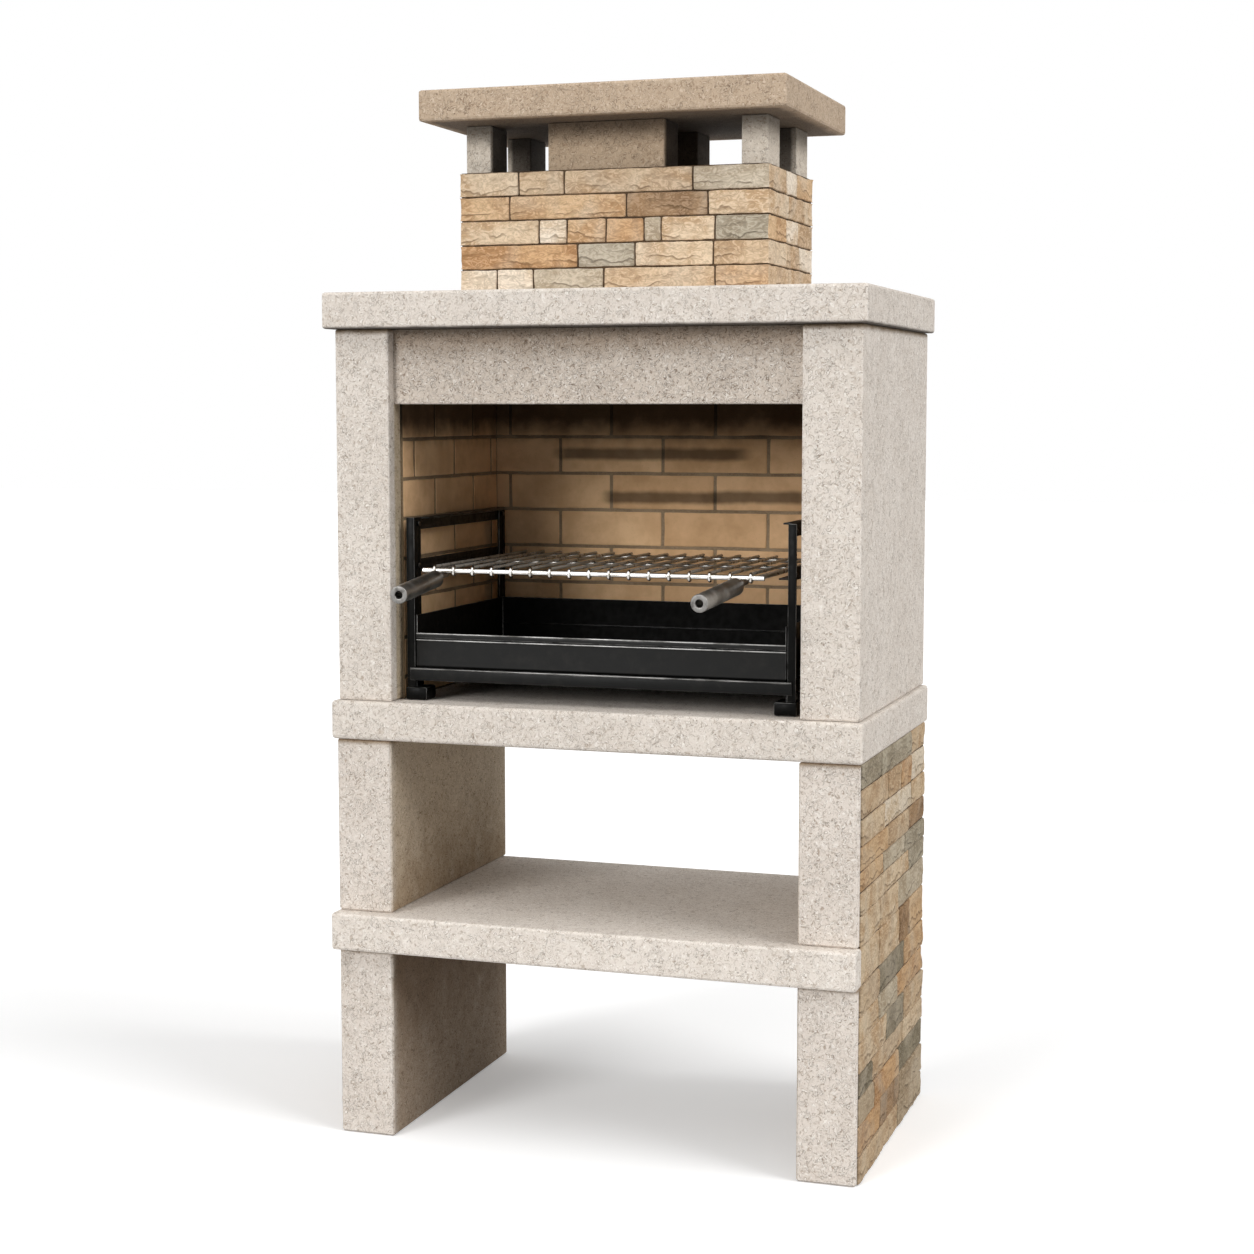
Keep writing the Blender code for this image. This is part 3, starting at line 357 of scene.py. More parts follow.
def slab_shade(low_node, high_node, top):
    """Painted shade in the corner under a slab, all along the walls that carry it."""
    low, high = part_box(low_node)[0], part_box(high_node)[1]
    return "slab_shade", (low.x, low.y, top - SLAB_SHADE_RISE), (high.x, high.y, top)


def inner_painted_shade():
    """Painted shade on the faces that look into the bays, and in the corners under the slabs."""
    left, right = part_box("lower_leg_left"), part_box("lower_leg_right")
    near_x, near_y = left[1].x, left[0].y + INNER_SHADE_INSET
    far_x, far_y = right[0].x, left[1].y
    shelf_z, shelf_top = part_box("shelf_slab")[0].z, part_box("shelf_slab")[1].z
    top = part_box("worktop_slab")[0].z
    under_shelf = (far_x, far_y, shelf_z)
    return [
        ("lower_bay", (near_x, near_y, 0), under_shelf),
        ("lower_bay_top", (near_x, near_y, shelf_z), under_shelf),
        ("upper_bay", (near_x, near_y, shelf_top), (far_x, far_y, top)),
        slab_shade("lower_leg_left", "lower_leg_right", shelf_z),
        slab_shade("upper_leg_left", "upper_leg_right", top),
    ]


def pillar_painted_shade():
    """Painted shade on the inner faces of the pillars, and in the corner under the mantel."""
    left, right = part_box("firebox_wall_left"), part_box("firebox_wall_right")
    low = (left[1].x, left[0].y + INNER_SHADE_INSET, left[0].z)
    high = (right[0].x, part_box("brick_lining_back")[0].y, left[1].z)
    return [
        ("pillar", low, high),
        slab_shade("firebox_wall_left", "firebox_wall_right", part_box("mantel_slab")[0].z),
    ]


def mantel_soot_and_shade():
    """The mantel's underside darkened: partly smoke, partly painted shade."""
    low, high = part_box("mantel_slab")
    return [("mantel", low, (high.x, high.y, low.z))]


def vent_soot_and_shade():
    """The posts and blocks under the cap darkened on all but their front faces, and more near the cap: partly
    smoke, partly painted shade.
    """
    low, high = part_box("cap_post_front_left")[0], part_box("cap_post_back_right")[1]
    inner = (low.x + VENT_SOOT_AND_SHADE_INSET, low.y + VENT_SOOT_AND_SHADE_INSET, low.z)
    outer = (high.x - VENT_SOOT_AND_SHADE_INSET, high.y, high.z)
    return [("vent", inner, outer), ("vent_top", (low.x, low.y, high.z), high)]


def cap_soot_and_shade():
    """The cap's underside darkened, most in its middle: partly smoke, partly painted shade."""
    low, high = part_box("cap_slab")
    inset = Vector((CAP_SOOT_AND_SHADE_INSET, CAP_SOOT_AND_SHADE_INSET, 0))
    return [("cap", low + inset, Vector((high.x, high.y, low.z)) - inset)]


def facing_weather():
    """Dust of the weather on the facing of the legs."""
    return [("weather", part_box("side_facing_left")[0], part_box("side_facing_right")[1])]


# Shader helpers


def display(levels):
    """A colour as a screen shows it, from 0 to 255 each, for a socket that takes light."""
    shares = [level / 255 for level in levels]
    return (*(share / 12.92 if share <= 0.04045 else ((share + 0.055) / 1.055) ** 2.4 for share in shares), 1)


class Wiring:
    """A shader tree whose nodes are added and linked by plain verbs."""

    def __init__(self, tree):
        self.tree = tree

    def feed(self, socket, value):
        """Links an output to a socket, or sets the socket's value."""
        if isinstance(value, bpy.types.NodeSocket):
            self.tree.links.new(value, socket)
        else:
            socket.default_value = value

    def node(self, kind, inputs=(), **settings):
        """A shader node with its settings, and its inputs fed by name or number."""
        made = self.tree.nodes.new("ShaderNode" + kind)
        for label, value in settings.items():
            setattr(made, label, value)
        for label, value in dict(inputs).items():
            self.feed(made.inputs[label], value)
        return made

    def maths(self, operation, *values):
        """The result of a Math node."""
        return self.node("Math", enumerate(values), operation=operation).outputs[0]

    def times(self, first, second):
        """A product."""
        return self.maths("MULTIPLY", first, second)

    def plus(self, first, second):
        """A sum."""
        return self.maths("ADD", first, second)

    def minus(self, first, second):
        """A difference."""
        return self.maths("SUBTRACT", first, second)

    def most(self, first, second):
        """The larger of two values."""
        return self.maths("MAXIMUM", first, second)

    def vector_maths(self, operation, *values):
        """The result of a Vector Math node."""
        outputs = self.node("VectorMath", enumerate(values), operation=operation).outputs
        return outputs["Value" if operation in ("DOT_PRODUCT", "LENGTH") else "Vector"]

    def ramp(self, value, low, high, out_low=0.0, out_high=1.0):
        """A value carried from one range to another with a soft start and end."""
        inputs = {"Value": value, "From Min": low, "From Max": high, "To Min": out_low, "To Max": out_high}
        return self.node("MapRange", inputs, interpolation_type="SMOOTHSTEP").outputs["Result"]

    def noise(self, vector, scale, detail=2.0, roughness=0.5, distortion=0.0):
        """The value of a noise pattern."""
        inputs = {"Vector": vector, "Scale": scale, "Detail": detail, "Roughness": roughness}
        return self.node("TexNoise", {**inputs, "Distortion": distortion}).outputs["Fac"]

    def mix(self, share, first, second, mode="MIX"):
        """Two colours mixed by a share."""
        inputs = {0: share, 6: first, 7: second}
        return self.node("Mix", inputs, data_type="RGBA", blend_type=mode).outputs[2]

    def laid(self, mask, share, colour, tint, mode="MIX"):
        """A colour with a share of a tint laid over it where a mask is."""
        return self.mix(self.times(mask, share), colour, tint, mode)

    def placed(self, group, **inputs):
        """The outputs of a node group placed with its own values."""
        return self.node("Group", inputs, node_tree=group).outputs

    def deliver(self, **results):
        """Sends values out of a node group, which is then done."""
        for label in results:
            self.tree.interface.new_socket(label, in_out="OUTPUT", socket_type="NodeSocketFloat")
        leave = self.tree.nodes.new("NodeGroupOutput")
        for label, value in results.items():
            self.feed(leave.inputs[label], value)
        return self.tree


def new_group(name, **inputs):
    """A shader node group and what enters it: vectors, and values with their usual level."""
    tree = bpy.data.node_groups.new(name, "ShaderNodeTree")
    for label, value in inputs.items():
        kind = "NodeSocketVector" if value is None else "NodeSocketFloat"
        socket = tree.interface.new_socket(label, in_out="INPUT", socket_type=kind)
        if value is not None:
            socket.default_value = value
    return Wiring(tree), tree.nodes.new("NodeGroupInput").outputs


def shell_grain_group():
    """Cast shell concrete: light curled fibres, with dark ones beside them as their painted shade; cracks
    darkened as painted shade with a pale rim beside them as a painted highlight; pits darkened as painted
    shade; and a slow mottle.
    """
    group, entry = new_group("shell_grain", Vector=None, Scale=60.0, Pits=0.5)
    vector = entry["Vector"]
    shifted = group.vector_maths("ADD", vector, (3.1, 5.7, 1.9))

    def scaled(share):
        return group.times(entry["Scale"], share)

    turns = group.times(group.noise(vector, entry["Scale"], 1.3, 0.5, 1.1), 22.0)
    line = group.maths("SINE", turns)
    # The dark fibres follow the light ones a little aside: painted shade of their relief
    shade = group.maths("SINE", group.minus(turns, 1.35))
    fine = group.noise(shifted, scaled(3.3), 2.0, 0.6, 0.8)
    gate = group.ramp(group.noise(shifted, scaled(1.2), 1.5), 0.40, 0.60, 0.45, 1.0)
    light = group.times(group.ramp(line, 0.35, 1.0), gate)
    light = group.most(light, group.ramp(fine, 0.56, 0.72, 0.0, 0.30))
    dark = group.times(group.ramp(shade, 0.60, 1.0), gate)
    dark = group.most(dark, group.ramp(fine, 0.44, 0.32, 0.0, 0.34))
    course = group.minus(group.noise(shifted, scaled(0.58), 1.5, 0.6, 1.4), 0.5)
    sparse = group.ramp(group.noise(vector, scaled(0.48), 1.0), 0.52, 0.58)
    # A crack is darkened as painted shade, and a rim beside it is lightened as a painted highlight
    crack = group.times(group.ramp(group.maths("ABSOLUTE", course), 0.004, 0.022, 1.0, 0.0), sparse)
    beside = group.maths("ABSOLUTE", group.minus(course, 0.034))
    rim = group.times(group.ramp(beside, 0.0, 0.022, 1.0, 0.0), sparse)
    cells = group.node("TexVoronoi", {"Vector": vector, "Scale": 85.0}).outputs
    pick = group.node("SeparateColor", {"Color": cells["Color"]}).outputs["Red"]
    # Pits are darkened as painted shade
    chosen = group.maths("GREATER_THAN", entry["Pits"], pick)
    pits = group.times(group.ramp(cells["Distance"], 0.05, 0.17, 1.0, 0.0), chosen)
    pits = group.most(pits, group.times(crack, 0.62))
    light = group.most(light, rim)
    height = group.minus(group.times(light, 0.6), group.times(dark, 0.7))
    height = group.minus(height, pits)
    height = group.plus(height, group.times(group.noise(vector, 520.0), 0.4))
    mottle = group.noise(vector, 9.0, 4.0, 0.6)
    return group.deliver(Light=light, Dark=dark, Pits=pits, Mottle=mottle, Height=height)


def worn_and_highlight_edge_group():
    """A mask of the edges of a piece, from how far a rounded normal turns away, broken up by noise."""
    group, entry = new_group("worn_and_highlight_edges", Vector=None, Radius=0.002, Break=0.4, Scale=60.0)
    rounded = group.node("Bevel", {"Radius": entry["Radius"]}, samples=6).outputs["Normal"]
    flat = group.node("NewGeometry").outputs["Normal"]
    edge = group.ramp(group.minus(1.0, group.vector_maths("DOT_PRODUCT", rounded, flat)), 0.01, 0.16)
    broken = group.noise(entry["Vector"], entry["Scale"], 3.0, 0.6)
    keep = group.ramp(broken, group.minus(entry["Break"], 0.12), group.plus(entry["Break"], 0.12))
    return group.deliver(Mask=group.times(edge, keep))


def split_face_group():
    """Split stone: patches of tone, wavy ledges that run along the stone with painted shade under them and a
    painted highlight on their lips, fine curls and a grain.
    """
    group, entry = new_group("split_face", Vector=None, Shift=None, Rise=0.5)
    vector = group.vector_maths("ADD", entry["Vector"], entry["Shift"])
    patches = group.ramp(group.noise(vector, 12.0, 3.0, 0.55, 0.6), 0.38, 0.62)
    bleach = group.ramp(group.noise(vector, 8.0, 2.0, 0.5, 0.8), 0.44, 0.66)
    flat = group.node("Mapping", {"Vector": vector, "Scale": (1.0, 1.0, 2.0)}).outputs[0]
    height = group.times(group.noise(flat, 16.0, 2.5, 0.55, 0.8), 0.9)
    ledge_shade, lips = 0.0, 0.0
    for rest, scale, wander, strength in STONE_LEDGES:
        wobble = group.minus(group.noise(vector, scale, 3.0, 0.6), 0.5)
        above = group.minus(entry["Rise"], group.maths("MULTIPLY_ADD", wobble, wander, rest))
        patchy = group.noise(vector, scale * 0.8, 1.0, 0.5, 0.4)
        shown = group.times(group.ramp(patchy, 0.42, 0.56), strength)
        # Under a ledge is painted shade, over it a painted highlight on its lip
        under = group.times(group.ramp(above, -0.13, -0.02), group.ramp(above, -0.02, 0.02, 1.0, 0.0))
        over = group.times(group.ramp(above, -0.01, 0.03), group.ramp(above, 0.04, 0.20, 1.0, 0.0))
        ledge_shade = group.most(ledge_shade, group.times(under, shown))
        lips = group.most(lips, group.times(over, shown))
        step = group.times(group.ramp(above, -0.06, 0.03), group.times(shown, 0.5))
        height = group.plus(height, step)
    curls = group.maths("SINE", group.times(group.noise(flat, 46.0, 1.2, 0.5, 1.4), 20.0))
    grain = group.noise(vector, 230.0, 4.0, 0.7)
    height = group.plus(height, group.times(grain, 0.30))
    height = group.plus(height, group.times(curls, 0.06))
    return group.deliver(
        Patches=patches, Bleach=bleach, Cracks=ledge_shade, Lips=lips, Curls=curls, Grain=grain, Height=height)


def soot_and_shade_group():
    """A mask that is full inside a box and fades outside it over a soft margin, broken up by noise."""
    group, entry = new_group("soot_and_shade", Vector=None, Centre=None, Half=None, Soft=None)
    away = group.vector_maths("ABSOLUTE", group.vector_maths("SUBTRACT", entry["Vector"], entry["Centre"]))
    beyond = group.vector_maths("DIVIDE", group.vector_maths("SUBTRACT", away, entry["Half"]), entry["Soft"])
    reach = group.vector_maths("LENGTH", group.vector_maths("MAXIMUM", beyond, (0, 0, 0)))
    stir = group.times(group.minus(group.noise(entry["Vector"], 22.0, 4.0), 0.5), 0.7)
    return group.deliver(Mask=group.ramp(group.plus(reach, stir), 0.0, 1.0, 1.0, 0.0))


SHELL_GRAIN = shell_grain_group()
WORN_AND_HIGHLIGHT_EDGES = worn_and_highlight_edge_group()
SPLIT_FACE = split_face_group()
SOOT_AND_SHADE = soot_and_shade_group()


class Finish(Wiring):
    """A material and its shader."""

    def __init__(self, name, roughness, metallic=0.0, specular=0.5):
        self.material = bpy.data.materials.new(name)
        self.material.use_nodes = True
        super().__init__(self.material.node_tree)
        self.shader = self.tree.nodes["Principled BSDF"]
        self.set("Roughness", roughness)
        self.set("Metallic", metallic)
        self.set("Specular IOR Level", specular)

    @cached_property
    def place(self):
        """The place of each point on its piece."""
        return self.node("TexCoord").outputs["Object"]

    def set(self, label, value):
        """Feeds one of the shader's inputs."""
        self.feed(self.shader.inputs[label], value)

    def pattern(self, scale, detail=2.0, roughness=0.5):
        """A noise pattern on the piece."""
        return self.noise(self.place, scale, detail, roughness)

    def edges(self, radius, wear, scale):
        """A mask of the piece's worn edges."""
        return self.placed(WORN_AND_HIGHLIGHT_EDGES, Vector=self.place, Radius=radius, Break=wear, Scale=scale)["Mask"]

    def sooted_and_shaded(self, colour, layers):
        """A colour with soot, weather dust and painted shade laid over it inside boxes, softly."""
        for kind, low, high in layers:
            soft, share, tint = SOOT_AND_SHADE_KINDS[kind]
            low, high = Vector(low), Vector(high)
            box = {"Centre": (low + high) / 2, "Half": (high - low) / 2, "Soft": soft}
            mask = self.placed(SOOT_AND_SHADE, Vector=self.place, **box)["Mask"]
            colour = self.laid(mask, share, colour, display(tint), "MULTIPLY")
        return colour

    def bump(self, height, distance, strength, **inputs):
        """Feeds a height to the shader's normal."""
        settings = {"Height": height, "Distance": distance, "Strength": strength}
        self.set("Normal", self.node("Bump", {**settings, **inputs}).outputs["Normal"])


def concrete_finish(name, tones, soot_and_shade=(), pit_share=SHELL_PIT_SHARE):
    """Cast concrete with shell in it, and soot where smoke passes and painted shade where shade falls."""
    base, light, dark, pit = map(display, tones)
    finish = Finish(name, 0.86, specular=0.25)
    grain = finish.placed(SHELL_GRAIN, Vector=finish.place, Scale=SHELL_SCALE, Pits=pit_share)
    colour = finish.laid(finish.ramp(grain["Mottle"], 0.34, 0.66), 0.14, base, dark)
    colour = finish.laid(grain["Light"], 0.62, colour, light)
    colour = finish.laid(grain["Dark"], 0.80, colour, dark)
    # Edges lightened, partly wear and partly a painted highlight
    colour = finish.laid(finish.edges(*CONCRETE_WEAR_AND_HIGHLIGHT), 0.70, colour, light)
    # Pits and cracks darkened as painted shade
    colour = finish.laid(grain["Pits"], 0.80, colour, pit)
    finish.set("Base Color", finish.sooted_and_shaded(colour, soot_and_shade))
    finish.bump(grain["Height"], *CONCRETE_BUMP)
    return finish.material


def stone_finish(name, tones):
    """One tone of split stone."""
    light, dark = map(display, tones)
    vein_and_shade = (*(level * 0.42 for level in dark[:3]), 1)
    pale = (*(min(1.0, level * 1.10 + 0.08) for level in light[:3]), 1)
    finish = Finish(name, 0.9, specular=0.2)
    own_place = finish.node("UVMap", uv_map="UVMap").outputs["UV"]
    rise = finish.node("SeparateXYZ", {"Vector": own_place}).outputs["Y"]
    shift = (len(name) * 0.37, light[0] * 3.1, dark[2] * 5.3)
    face = finish.placed(SPLIT_FACE, Vector=finish.place, Shift=shift, Rise=rise)
    colour = finish.mix(face["Patches"], light, dark)
    colour = finish.laid(face["Bleach"], 0.40, colour, display(BLEACHED_STONE))
    colour = finish.mix(finish.ramp(face["Curls"], 0.30, 1.0, 0.0, 0.50), colour, pale)
    colour = finish.mix(finish.ramp(face["Curls"], -0.55, -1.0, 0.0, 0.26), colour, vein_and_shade)
    colour = finish.mix(finish.ramp(face["Grain"], 0.48, 0.78, 0.0, 0.30), colour, vein_and_shade)
    # The lips of the ledges are lightened as a painted highlight, and under them darkened as painted shade
    colour = finish.laid(face["Lips"], 0.30, colour, pale)
    colour = finish.laid(face["Cracks"], 0.62, colour, vein_and_shade)
    # Edges paler, partly wear and partly a painted highlight
    colour = finish.laid(finish.edges(*STONE_WEAR_AND_HIGHLIGHT), 0.65, colour, pale)
    finish.set("Base Color", finish.sooted_and_shaded(colour, facing_weather()))
    finish.bump(face["Height"], *STONE_BUMP)
    return finish.material


def mortar_finish(name, light, dark, soot_and_shade=()):
    """Sandy mortar."""
    finish = Finish(name, 0.95, specular=0.15)
    sand = finish.pattern(320.0, 4.0, 0.7)
    share = finish.plus(finish.times(sand, 0.5), finish.times(finish.pattern(18.0, 3.0), 0.5))
    colour = finish.mix(finish.ramp(share, 0.35, 0.65), display(light), display(dark))
    finish.set("Base Color", finish.sooted_and_shaded(colour, soot_and_shade))
    finish.bump(sand, *MORTAR_BUMP)
    return finish.material


def brick_finish(name, tones):
    """Fire brick, dull and slightly sandy, its edges paler as wear and painted highlight, with the soot and
    painted shade of the firebox over it.
    """
    base, dark = map(display, tones)
    pale = (*(level * 1.35 for level in base[:3]), 1)
    finish = Finish(name, 0.92, specular=0.15)
    fine = finish.pattern(260.0, 4.0, 0.7)
    slow = finish.pattern(14.0, 4.0, 0.6)
    specks = finish.node("TexVoronoi", {"Vector": finish.place, "Scale": 170.0}).outputs["Distance"]
    colour = finish.mix(finish.ramp(slow, 0.35, 0.68), base, dark)
    colour = finish.mix(finish.ramp(fine, 0.50, 0.80, 0.0, 0.35), colour, dark)
    colour = finish.mix(finish.ramp(specks, 0.05, 0.16, 0.22, 0.0), colour, display(BRICK_SPECK))
    # Edges paler, partly wear and partly a painted highlight
    colour = finish.laid(finish.edges(*BRICK_WEAR_AND_HIGHLIGHT), 0.35, colour, pale)
    finish.set("Base Color", finish.sooted_and_shaded(colour, FIREBOX_SOOT_AND_SHADE))
    finish.bump(finish.plus(fine, slow), *BRICK_BUMP)
    return finish.material


def painted_steel_finish(name, paint, bare, roughness, wear, gloss, dust_share):
    """Black stove paint, worn to bare steel along the edges; the bare edges also stand in as painted
    highlights.
    """
    finish = Finish(name, roughness, specular=gloss)
    edge = finish.edges(PAINT_WEAR_AND_HIGHLIGHT_RADIUS, wear, PAINT_WEAR_AND_HIGHLIGHT_SCALE)
    dust = finish.ramp(finish.pattern(38.0, 5.0, 0.65), 0.45, 0.80, 0.0, dust_share)
    colour = finish.mix(dust, display(paint), display(PAINT_DUST))
    finish.set("Base Color", finish.mix(edge, colour, display(bare)))
    finish.set("Metallic", finish.times(edge, 0.85))
    rough = finish.ramp(finish.pattern(90.0, 4.0), 0.35, 0.70, roughness - 0.06, roughness + 0.12)
    finish.set("Roughness", rough)
    rounded = finish.node("Bevel", {"Radius": PAINT_EDGE_RADIUS}, samples=4).outputs["Normal"]
    finish.bump(finish.pattern(420.0), *PAINT_BUMP, Normal=rounded)
    return finish.material


def bare_steel_finish(name, clean, stained, low, high, scale, metallic):
    """Bare or plated steel, stained in patches."""
    finish = Finish(name, low, metallic=metallic)
    stain = finish.ramp(finish.pattern(scale, 5.0, 0.65), 0.42, 0.66)
    finish.set("Base Color", finish.mix(stain, display(clean), display(stained)))
    finish.set("Roughness", finish.ramp(finish.pattern(scale * 3, 3.0), 0.30, 0.70, low, high))
    finish.bump(finish.pattern(600.0), *STEEL_BUMP)
    return finish.material


FIREBOX_SOOT_AND_SHADE = firebox_soot_and_shade()
STONES = {name: stone_finish("stone_" + name, tones) for name, tones in STONE_TONES.items()}
DARK_JOINT = mortar_finish("dark_joint", (96, 78, 60), (62, 50, 39))
BRICK_MORTAR = mortar_finish("brick_mortar", (156, 136, 110), (128, 109, 86), FIREBOX_SOOT_AND_SHADE)
BACK_BRICKS = [brick_finish(name, tones) for name, tones in BACK_BRICK_TONES.items()]
PAINTED_LIGHT_SIDE_BRICKS = [brick_finish(name, tones) for name, tones in PAINTED_LIGHT_SIDE_BRICK_TONES.items()]
STEEL = {name: painted_steel_finish(name, *row) for name, row in PAINTED_STEELS.items()}
STEEL.update({name: bare_steel_finish(name, *row) for name, row in BARE_STEELS.items()})


# Modelling helpers


def clear_selection():
    """Leaves nothing selected."""
    for thing in list(bpy.context.selected_objects):
        thing.select_set(False)


def only(piece):
    """Selects one piece alone and makes it active."""
    clear_selection()
    piece.select_set(True)
    bpy.context.view_layer.objects.active = piece


def name_piece(piece, name, *finishes):
    """Names a piece and its mesh and gives it its finishes."""
    piece.name = name
    piece.data.name = name
    piece.data.materials.clear()
    for finish in finishes:
        piece.data.materials.append(finish)
    return piece


def block(name, low, high, finish):
    """A block between two corners."""
    clear_selection()
    low, high = Vector(low), Vector(high)
    bpy.ops.mesh.primitive_cube_add(size=1, location=(low + high) / 2, scale=high - low)
    bpy.ops.object.transform_apply(location=True, rotation=True, scale=True)
    return name_piece(bpy.context.object, name, finish)


def apply_modifiers(piece):
    """Applies all modifiers of a piece, in their order."""
    only(piece)
    for step in list(piece.modifiers):
        bpy.ops.object.modifier_apply(modifier=step.name)
    return piece


def add_rounding(piece, width, steps, angle=ROUND_ANGLE, finish_slot=-1):
    """Adds a bevel of the sharp edges, with a finish of its own if one is named."""
    bevel = piece.modifiers.new("rounding", "BEVEL")
    bevel.width = width
    bevel.segments = steps
    bevel.limit_method = "ANGLE"
    bevel.angle_limit = angle
    bevel.material = finish_slot


def shade_smooth(piece, angle=SHADE_ANGLE):
    """Shades a piece smooth but for its sharp edges."""
    only(piece)
    bpy.ops.object.shade_smooth_by_angle(angle=angle)
    return piece


def join(parts, name):
    """Joins parts into one piece."""
    clear_selection()
    for part in parts:
        part.select_set(True)
    bpy.context.view_layer.objects.active = parts[0]
    bpy.ops.object.join()
    piece = bpy.context.object
    piece.name = name
    piece.data.name = name
    return piece


def settle(piece, body, node):
    """Puts a finished piece on its body, and hides the imported part that it stands for."""
    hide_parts(node)
    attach(piece, body)


def cloud_texture(name, size, depth):
    """A texture of soft clouds, for displacement."""
    texture = bpy.data.textures.new(name, "CLOUDS")
    texture.noise_scale = size
    texture.noise_depth = depth
    return texture


WAVER = cloud_texture("waver", 0.050, 2)
SPLIT = cloud_texture("split", 0.028, 4)
CHIP = cloud_texture("chip", 0.010, 2)
BRICK_WAVER = cloud_texture("brick_waver", 0.070, 2)

# Each relief of a face: its texture, how far it moves the surface, and which way
FACING_RELIEFS = ((WAVER, 0.0030, "RGB_TO_XYZ"), (SPLIT, 0.0045, "X"), (CHIP, 0.0012, "NORMAL"))
CHIMNEY_RELIEFS = ((WAVER, 0.0026, "RGB_TO_XYZ"), (SPLIT, 0.0024, "NORMAL"), (CHIP, 0.0010, "NORMAL"))
BRICK_RELIEFS = ((BRICK_WAVER, 0.0020, "RGB_TO_XYZ"), (CHIP, 0.0006, "NORMAL"))


def panel(corner, along, u, v, cell, finish, proud=0.0):
    """A gridded panel on a wall, from u[0] to u[1] along it and v[0] to v[1] up it, standing proud of it."""
    clear_selection()
    outward = along.cross(UP)
    turn = Matrix((along, UP, outward)).transposed().to_euler()
    width, rise = u[1] - u[0], v[1] - v[0]
    middle = corner + along * ((u[0] + u[1]) / 2) + UP * ((v[0] + v[1]) / 2) + outward * proud
    bpy.ops.mesh.primitive_grid_add(
        x_subdivisions=max(2, round(width / cell)), y_subdivisions=max(2, round(rise / cell)), size=1,
        location=middle, rotation=turn)
    piece = bpy.context.object
    piece.scale = (width, rise, 1)
    bpy.ops.object.transform_apply(location=True, rotation=True, scale=True)
    return name_piece(piece, "panel", finish)


def rough_slabs(panels, name, slab, arris, reliefs, even=False):
    """Panels thickened to slabs inwards, with rounded arrises and a rough face."""
    piece = join(panels, name)
    thickness = piece.modifiers.new("thickness", "SOLIDIFY")
    thickness.thickness = slab
    thickness.offset = -1
    thickness.use_even_offset = even
    add_rounding(piece, arris, ROUND_STEPS)
    piece.modifiers.new("smoothing", "SUBSURF").levels = 1
    for texture, strength, direction in reliefs:
        relief = piece.modifiers.new("relief", "DISPLACE")
        relief.texture = texture
        relief.texture_coords = "LOCAL"
        relief.direction = direction
        relief.strength = strength
        relief.mid_level = 0.5
    return apply_modifiers(piece)


def spans(length, joints, gap):
    """Where the stones of a course start and end, with half a joint kept free at each side."""
    places = [0, *joints, length]
    return [(start + gap / 2, end - gap / 2) for start, end in zip(places, places[1:])]


# Masonry


def build_side_facing(side_name, side):
    """Courses of split stone over a dark bed, on the outside of a pair of legs."""
    node = f"side_facing_{side_name}"
    low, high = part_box(node)
    face_x, back_x = (high.x, low.x) if side > 0 else (low.x, high.x)
    length = high.y - low.y
    lower_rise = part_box("lower_leg_right")[1].z
    shelf_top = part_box("shelf_slab")[1].z
    upper_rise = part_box("upper_leg_right")[1].z - shelf_top
    rises = [lower_rise * share for share in LOWER_RISE_SHARES]
    rises.append(shelf_top - lower_rise)
    rises += [upper_rise * share for share in UPPER_RISE_SHARES]
    levels = list(accumulate(rises, initial=0))
    along = Vector((0, side, 0))
    corner = Vector((face_x, low.y if side > 0 else high.y, 0))
    panels = []
    for course, (bottom, top) in enumerate(zip(levels, levels[1:])):
        joints = [length * share for share in FACING_JOINT_SHARES[course]]
        tones = list(FACING_STONES[course])
        if side < 0:
            joints = [length - place for place in reversed(joints)]
            tones.reverse()
        rows = (bottom + STONE_JOINT / 2, top - STONE_JOINT / 2)
        for index, columns in enumerate(spans(length, joints, STONE_JOINT)):
            # The stones stand back by one, two or three steps in turn
            proud = -STONE_PROUD * (1 + (course * 2 + index * 5) % 3)
            panels.append(panel(corner, along, columns, rows, STONE_CELL, STONES[tones[index]], proud))
    stones = rough_slabs(panels, f"stones_{side_name}", FACING_SLAB, STONE_ROUND, FACING_RELIEFS)
    bed_x = face_x - side * FACING_RELIEF
    bed = block(
        "bed", (min(back_x, bed_x), low.y + FACING_BED_INSET, low.z + STONE_JOINT),
        (max(back_x, bed_x), high.y - FACING_BED_INSET, high.z - STONE_JOINT), DARK_JOINT)
    piece = join([stones, bed], f"stone_facing_{side_name}")
    settle(shade_smooth(piece), "masonry", node)


Wall = namedtuple("Wall", "corner along length joints tones corner_tone turned_tone")


def chimney_walls(low, high, course):
    """The four walls of a chimney course, round from the front, each with its stones and its end corner."""
    width, depth = high.x - low.x, high.y - low.y
    front = [width * share for share in CHIMNEY_FRONT_SHARES[course]]
    right = [depth * share for share in CHIMNEY_SIDE_SHARES[course]]
    left = [depth - place for place in reversed(right)]
    tones, side_tones = CHIMNEY_STONES[course], CHIMNEY_SIDE_STONES[course]
    front_tones = (tones[1:-1], tones[-1], CHIMNEY_TURN_STONES[course])
    right_tones = (side_tones[:-1], side_tones[-1], side_tones[-1])
    left_tones = (side_tones[:-1][::-1], tones[0], tones[0])
    return (
        Wall(Vector((low.x, low.y, 0)), Vector((1, 0, 0)), width, front, *front_tones),
        Wall(Vector((high.x, low.y, 0)), Vector((0, 1, 0)), depth, right, *right_tones),
        Wall(Vector((high.x, high.y, 0)), Vector((-1, 0, 0)), width, front, *front_tones),
        Wall(Vector((low.x, high.y, 0)), Vector((0, -1, 0)), depth, left, *left_tones),
    )


